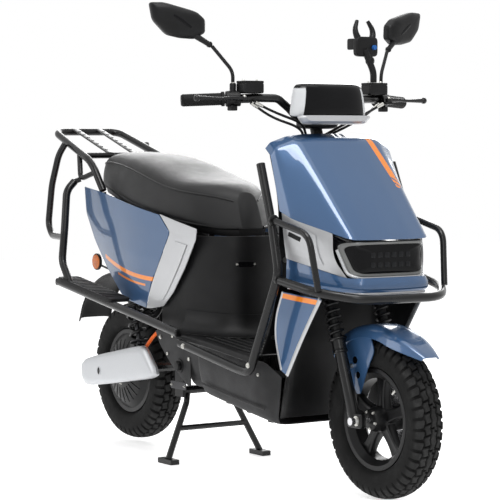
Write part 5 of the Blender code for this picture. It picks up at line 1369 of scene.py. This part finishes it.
def fork_leg(suffix, s, wire):
    """A fork leg, turned about its leaning line, with the axle's clamp and a coil spring. The left
    leg carries the brake caliper."""
    top = leg_point(0.405, s * LEG_Y)
    low = leg_point(0.194, s * LEG_Y)
    length = np.linalg.norm(low - top)
    profile = [(0.030, 0.0132), (0.0, 0.0132), (0.0, 0.0222), (0.0015, 0.0235), (0.004, 0.0235),
               (0.0055, 0.0215), (0.007, 0.0180), (0.030, 0.0176), (0.032, 0.0190), (0.038, 0.0190),
               (0.040, 0.0158), (length - 0.012, 0.0152), (length, 0.0125)]
    washer = [(0, 0.0128), (0.002, 0.0128), (0.002, 0.0118)]
    patches = [lathe(top, low - top, profile, 40),
               pillow((0.594, s * LEG_Y, FRONT_AXLE[2]), (0.0295, 0.0098, 0.0195), 0, 0.3),
               lathe(FRONT_AXLE + (0, s * 0.0875, 0), s * LEFT, washer, 24, 1)]
    if s > 0:
        patches += [pillow((0.548, 0.0600, 0.2575), (0.0178, 0.0034, 0.0318), 0, 0.3),
                    pillow((0.548, 0.0463, 0.2575), (0.0178, 0.0031, 0.0318), 0, 0.3),
                    pillow((0.5335, 0.0532, 0.2700), (0.0035, 0.0095, 0.0180), 0, 0.3),
                    bolt((0.545, 0.0633, 0.2700), LEFT, 0.005)]
    piece("leg_" + suffix, patches, "tube bolt", "fork_lower", "fork_leg_" + suffix)
    coil_radius, curls = 0.0178, 10
    high = leg_point(0.580, s * LEG_Y)
    seat = leg_point(0.4045, s * LEG_Y)
    spring = piece("coil_" + suffix, [helix(high, seat, coil_radius, wire, curls)], "spring", "steering",
                   "fork_spring_" + suffix)
    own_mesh(spring)


def fender():
    """The front fender: an arc over the wheel whose edges sink by high powers of the way across, with
    a narrow nose that flicks up, and a plate on each side with a bolt and dark holes."""
    degrees = np.linspace(42, 135, 74)[:, None]
    turn = np.radians(degrees)
    t = np.linspace(-1, 1, 33)[None, :]
    sink = 0.024 * np.abs(t) ** 9 + 0.006 * np.abs(t) ** 4 - 0.002
    nose = np.clip((72 - degrees) / 30, 0, 1) ** 2
    wide = 0.052 - 0.026 * nose - 0.005 * np.clip((degrees - 127) / 8, 0, 1) ** 2
    reach = 0.236 - sink * (1 - 0.7 * nose) + 0.018 * nose
    skin = np.stack([FRONT_AXLE[0] + reach * np.cos(turn), wide * t, FRONT_AXLE[2] + reach * np.sin(turn)],
                    axis=-1)
    patches = [shell(skin, -0.003)]
    right_foot = [(0.530, 0.318), (0.557, 0.266), (0.572, 0.266), (0.600, 0.330)]
    left_foot = [(0.518, 0.330), (0.530, 0.306), (0.550, 0.302), (0.590, 0.336)]
    right_holes = ((0.5507, 0.351, 0.0095), (0.5636, 0.314, 0.0085))
    left_holes = ((0.560, 0.345, 0.0080),)
    for s, foot, holes in ((-1, right_foot, right_holes), (1, left_foot, left_holes)):
        edge = [(0.506, 0.384)] + foot + [(0.630, 0.380), (0.612, 0.420), (0.556, 0.424), (0.506, 0.384)]
        x, z = round_loop(edge, 64, 0.22).T
        patches.append(closed_rings([np.column_stack([x, s * y + 0 * x, z]) for y in (0.0480, 0.0510)]))
        patches.append(lathe(leg_point(0.335, s * 0.0495), s * LEFT, [(0, 0.006), (0.0107, 0.006)], 20, 1))
        for x, z, r in holes:
            patches.append(lathe((x, s * 0.0510, z), s * LEFT, [(0, r), (0.0003, r), (0.0003, 0.001)], 28, 2))
    piece("fender_skin", patches, "blue bolt gloss", "fork_lower", "front_fender")


class MOPED_OT_fork(bpy.types.Operator):
    """The fork legs with their coil springs, the front fender and the brake caliper"""
    bl_idname = "moped.fork"
    bl_label = "Front fork"

    def execute(self, context):
        for suffix, s in (("right", -1), ("left", 1)):
            fork_leg(suffix, s, context.scene.moped_sizes.spring_wire)
        fender()
        return {"FINISHED"}


def hub_cover():
    """The silver cover on the rear arm: a rounded outline stacked outwards and drawn in towards its
    middle, with a dark oval port in a raised lip."""
    edge = np.array([(-0.724, 0.228), (-0.720, 0.188), (-0.694, 0.168), (-0.538, 0.190), (-0.322, 0.224),
                     (-0.286, 0.238), (-0.293, 0.254), (-0.346, 0.309), (-0.376, 0.317), (-0.626, 0.267),
                     (-0.698, 0.250), (-0.724, 0.228)])
    middle = edge[:-1].mean(axis=0)
    x, z = (round_loop(edge, 132, 0.30) - middle).T
    stack = ((-0.1215, 1.0, 1.0), (-0.130, 1.0, 1.0), (-0.1335, 0.992, 0.97), (-0.1375, 0.965, 0.88),
             (-0.1395, 0.94, 0.80), (-0.1400, 0.90, 0.70), (-0.1400, 0.5, 0.35), (-0.1400, 0.1, 0.06))
    rings = [np.column_stack([middle[0] + x * a, y + 0 * x, middle[1] + z * b]) for y, a, b in stack]
    turn = round_turn(48)

    def oval(wide, tall, y):
        """An oval of half sizes wide and tall round the port's middle."""
        return np.column_stack([-0.604 + wide * np.cos(turn), y + 0 * turn, 0.222 + tall * np.sin(turn)])

    port = [oval(0.0075 * k, 0.0105 * k, -0.1402 - d) for k, d in
            ((1.0, -0.002), (1.0, 0.0004), (0.94, 0.0006), (0.05, 0.0006))]
    lip = oval(0.0085, 0.0115, -0.1402)
    patches = [closed_rings(rings), closed_rings(port, 1), tube(np.vstack([lip, lip[:2]]), 0.0016, 8)]
    piece("hub_side_cover", patches, "cover gloss", "swing", "hub_cover")


def shock(suffix, s):
    """A rear shock absorber: a turned can and stem on eyes, and a coil spring."""
    top = SHOCK_TOP + s * SHOCK_Y * LEFT
    low = SHOCK_LOW + s * SHOCK_Y * LEFT
    axis = unit(low - top)
    span = np.linalg.norm(low - top)
    can = [(-0.004, 0.004), (-0.004, 0.0095), (0.004, 0.0095), (0.004, 0.0255), (0.0055, 0.0270),
           (0.008, 0.0270), (0.009, 0.0255), (0.009, 0.0165), (0.112, 0.0165), (0.115, 0.0150),
           (0.115, 0.0080), (0.100, 0.0080)]
    stem = [(0.010, 0.0072), (0.018, 0.0072), (0.018, 0.0255), (0.0195, 0.0270), (0.0215, 0.0270),
            (0.023, 0.0255), (0.023, 0.0072), (span - 0.074, 0.0072), (span - 0.073, 0.0062)]

    def eye(at, bore, rim):
        """A short ring across the part, with its outer edges turned down."""
        profile = [(-0.012, bore), (-0.012, rim - 0.001), (-0.011, rim), (0.011, rim), (0.012, rim - 0.001),
                   (0.012, bore)]
        return lathe(at, LEFT, profile, 36, 0, True)

    piece("shock_can_" + suffix, [lathe(top + axis * 0.012, axis, can, 40), eye(top, 0.0062, 0.013)], "tube",
          "shock_upper", "shock_body_" + suffix)
    coil_radius, wire, curls = 0.0216, 0.0048, 7
    high = top + axis * 0.0215
    seat = low - axis * 0.0235
    coil = piece("shock_coil_" + suffix, [helix(high, seat, coil_radius, wire, curls)], "spring",
                 "shock_upper", "shock_spring_" + suffix)
    run = np.linalg.norm(seat - high)
    tuple(-axis)
    tuple(high + SHIFT)
    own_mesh(coil)
    piece("shock_stem_" + suffix, [lathe(low, -axis, stem, 40), eye(low, 0.0072, 0.0125)], "dim",
          "shock_lower", "shock_rod_" + suffix)


def pivot_plates():
    """The small plates that close the sides behind the belly, with pivot caps and bolts on both
    sides, and a bare plate below the right one."""
    rows = [[(-0.290, -0.1300, 0.366), (-0.180, -0.1330, 0.371), (-0.100, -0.1325, 0.372)],
            [(-0.266, -0.1300, 0.328), (-0.180, -0.1330, 0.328), (-0.100, -0.1325, 0.328)],
            [(-0.204, -0.1305, 0.277), (-0.155, -0.1330, 0.277), (-0.100, -0.1325, 0.278)],
            [(-0.146, -0.1310, 0.242), (-0.125, -0.1325, 0.240), (-0.100, -0.1325, 0.238)],
            [(-0.116, -0.1315, 0.227), (-0.108, -0.1325, 0.226), (-0.100, -0.1325, 0.225)]]
    cap = [(-0.002, 0.0205), (0.003, 0.0205), (0.0045, 0.0190), (0.0045, 0.0135), (0.012, 0.0130),
           (0.0145, 0.0110), (0.0150, 0.002)]
    plates = [shell(quilt(rows, 40, 28, 0.25, 0.4), 0.003),
              lathe((-0.156, -0.1335, 0.277), RIGHT, cap, 36, 1)]
    for x, z in ((-0.262, 0.350), (-0.195, 0.357), (-0.222, 0.306)):
        plates.append(bolt((x, -0.1325, z), RIGHT, 0.0050, 2))
    patches = both(plates)
    patches += [pillow((-0.152, -0.1320, 0.236), (0.012, 0.0010, 0.014), 1, 0.15),
                pillow((-0.166, -0.1335, 0.221), (0.040, 0.0010, 0.0105), 3, 0.15)]
    patches += [bolt((x, -0.1340, 0.221), RIGHT, 0.0026, 2) for x in (-0.200, -0.132)]
    piece("pivot_caps_and_plate", patches, "grey black bolt dim", "chassis", None)


class MOPED_OT_rear(bpy.types.Operator):
    """The hub cover, rear shocks with their springs, and small plates round the pivot"""
    bl_idname = "moped.rear"
    bl_label = "Rear suspension"

    def execute(self, context):
        hub_cover()
        for suffix, s in (("right", -1), ("left", 1)):
            shock(suffix, s)
        pivot_plates()
        return {"FINISHED"}


class MOPED_OT_chassis(bpy.types.Operator):
    """Finishes for the CAD pieces that keep their own shape"""
    bl_idname = "moped.chassis"
    bl_label = "Chassis finishes"

    def execute(self, context):
        kept = {"main_frame": "chassis", "steering_stem": "chassis", "swingarm": "tube",
                "center_stand": "tube", "front_axle": "steel", "battery_pack": "battery"}
        for node, name in kept.items():
            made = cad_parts[node]
            if made.material_slots:
                for slot in made.material_slots:
                    slot.link = "OBJECT"
                    slot.material = finish(name)
            else:
                made.data.materials.append(finish(name))
        return {"FINISHED"}


VIEW_AZIMUTH = math.radians(56.2)
VIEW_RISE = math.radians(3.1)
VIEW_REACH = 5.82
VIEW_TARGET = np.array([0.055, 0.0, 0.604])
TO_CAMERA = np.array([math.sin(VIEW_AZIMUTH) * math.cos(VIEW_RISE),
                      -math.cos(VIEW_AZIMUTH) * math.cos(VIEW_RISE), math.sin(VIEW_RISE)])


def placed(name, data, place, back):
    """A lamp or camera at a place, with back pointing away from what it faces and its top upwards."""
    made = bpy.data.objects.new(name, data)
    bpy.context.scene.collection.objects.link(made)
    made.location = place
    side = unit(np.cross(UP, back)) if abs(back[2]) < 0.99 else AHEAD
    made.rotation_mode = "QUATERNION"
    turned = np.column_stack([side, np.cross(back, side), back])
    made.rotation_quaternion = Matrix(turned.tolist()).to_quaternion()
    return made


def floor():
    """The pale floor: an even square grid with a faint glow of its own."""
    f = Finish("pale_floor", roughness=0.9)
    f.set(base_color=f.mix(f.noise(3.0), (0.93, 0.93, 0.93, 1.0), (0.96, 0.96, 0.96, 1.0)))
    glow = f.node("ShaderNodeEmission", {}, {"Color": (1, 1, 1, 1), "Strength": 0.62})
    lit = f.node("ShaderNodeAddShader", {}, {0: Wire(f, f.shader.outputs[0]), 1: glow})
    f.feed(f.nodes["Material Output"].inputs["Surface"], lit)
    count, half, sunk = 25, 9.0, 0.0005
    t = np.linspace(-half, half, count)
    x, y = np.meshgrid(t, t, indexing="ij")
    mesh = bpy.data.meshes.new("floor")
    mesh.from_pydata(np.stack([x, y, 0 * x - sunk], axis=-1).reshape(-1, 3).tolist(), [],
                     quads(count, count)[:, ::-1].tolist())
    mesh.materials.append(f.made)
    made = bpy.data.objects.new("floor", mesh)
    bpy.context.scene.collection.objects.link(made)


def backdrop(scene):
    """A white studio: brighter from behind the scooter than from the camera's side, and white to the
    camera and in reflections."""
    scene.world = bpy.data.worlds.new("studio")
    w = Nodes(scene.world)
    toward = w.node("ShaderNodeTexCoord", {}, {}, "Generated")
    cove = w.node("ShaderNodeVectorMath", {"operation": "DOT_PRODUCT"},
                  {0: toward, 1: tuple(-TO_CAMERA * (1, 1, 0))}, "Value")
    level = w.ramp(cove, -0.25, 0.75, (0.20, 0.90))
    seen = w.node("ShaderNodeLightPath", {}, {}, "Is Camera Ray")
    rays = seen.socket.node.outputs
    for ray in ("Is Glossy Ray", "Is Transmission Ray"):
        seen = seen.math("MAXIMUM", Wire(w, rays[ray]))
    back = w.nodes["Background"]
    w.feed(back.inputs["Color"], (1.0, 1.0, 1.0, 1.0))
    w.feed(back.inputs["Strength"], level + (1.0 - level) * seen)


def lamp(name, place, size, power, aim=(0.05, 0, 0.6)):
    """A soft rectangular light at a place, turned to its aim."""
    data = bpy.data.lights.new(name, "AREA")
    data.shape = "RECTANGLE"
    data.size, data.size_y = size
    data.energy = power
    made = placed(name, data, place, unit(np.asarray(place, float) - np.asarray(aim, float)))


class MOPED_OT_stage(bpy.types.Operator):
    """The pale floor, the soft lights and the camera"""
    bl_idname = "moped.stage"
    bl_label = "Stage"

    def execute(self, context):
        scene = context.scene
        floor()
        backdrop(scene)
        lamp("overhead_soft", (0.0, 0.0, 3.6), (3.0, 2.4), 24.0)
        lamp("overhead_strip", (1.15, -0.62, 2.95), (1.0, 0.8), 30.0, (0.4, -0.1, 0.7))
        lamp("front_soft", (3.4, -2.0, 2.6), (1.0, 2.4), 26.0)
        lamp("side_soft", (-1.4, -3.8, 2.2), (1.6, 2.2), 26.0)
        lamp("back_soft", (-2.4, 1.9, 1.9), (2.6, 1.4), 56.0)
        data = bpy.data.cameras.new("photo_camera")
        data.lens = 151.6
        data.sensor_width = 36.0
        data.sensor_fit = "HORIZONTAL"
        data.clip_end = 100.0
        scene.camera = placed("photo_camera", data, VIEW_TARGET + TO_CAMERA * VIEW_REACH, TO_CAMERA)
        scene.view_settings.view_transform = "Standard"
        return {"FINISHED"}


class MOPED_PT_panel(bpy.types.Panel):
    """Lists the scooter's pieces, sizes and colours"""
    bl_idname = "MOPED_PT_panel"
    bl_label = "Moped scooter"
    bl_space_type = "VIEW_3D"
    bl_region_type = "UI"
    bl_category = "Moped"

    def draw(self, context):
        layout = self.layout
        for group in (context.scene.moped_sizes, context.scene.moped_colours):
            for key in group.__annotations__:
                layout.prop(group, key)
        for step in STEPS:
            layout.operator(step.bl_idname)


STEPS = (MOPED_OT_shield, MOPED_OT_leg_panels, MOPED_OT_tail, MOPED_OT_tubes, MOPED_OT_seat, MOPED_OT_bars,
         MOPED_OT_cables, MOPED_OT_fork, MOPED_OT_wheels, MOPED_OT_rear, MOPED_OT_chassis, MOPED_OT_stage)
CLASSES = (MopedColours, MopedSizes) + STEPS + (MOPED_PT_panel,)


def register():
    """Adds the classes and the scene's settings."""
    for each in CLASSES:
        bpy.utils.register_class(each)
    bpy.types.Scene.moped_colours = bpy.props.PointerProperty(type=MopedColours)
    bpy.types.Scene.moped_sizes = bpy.props.PointerProperty(type=MopedSizes)


def unregister():
    """Takes them away again."""
    del bpy.types.Scene.moped_sizes
    del bpy.types.Scene.moped_colours
    for each in reversed(CLASSES):
        bpy.utils.unregister_class(each)


def main():
    """Registers the classes and builds every piece."""
    register()
    for step in STEPS:
        group, name = step.bl_idname.split(".")
        getattr(getattr(bpy.ops, group), name)()


if __name__ == "__main__":
    main()
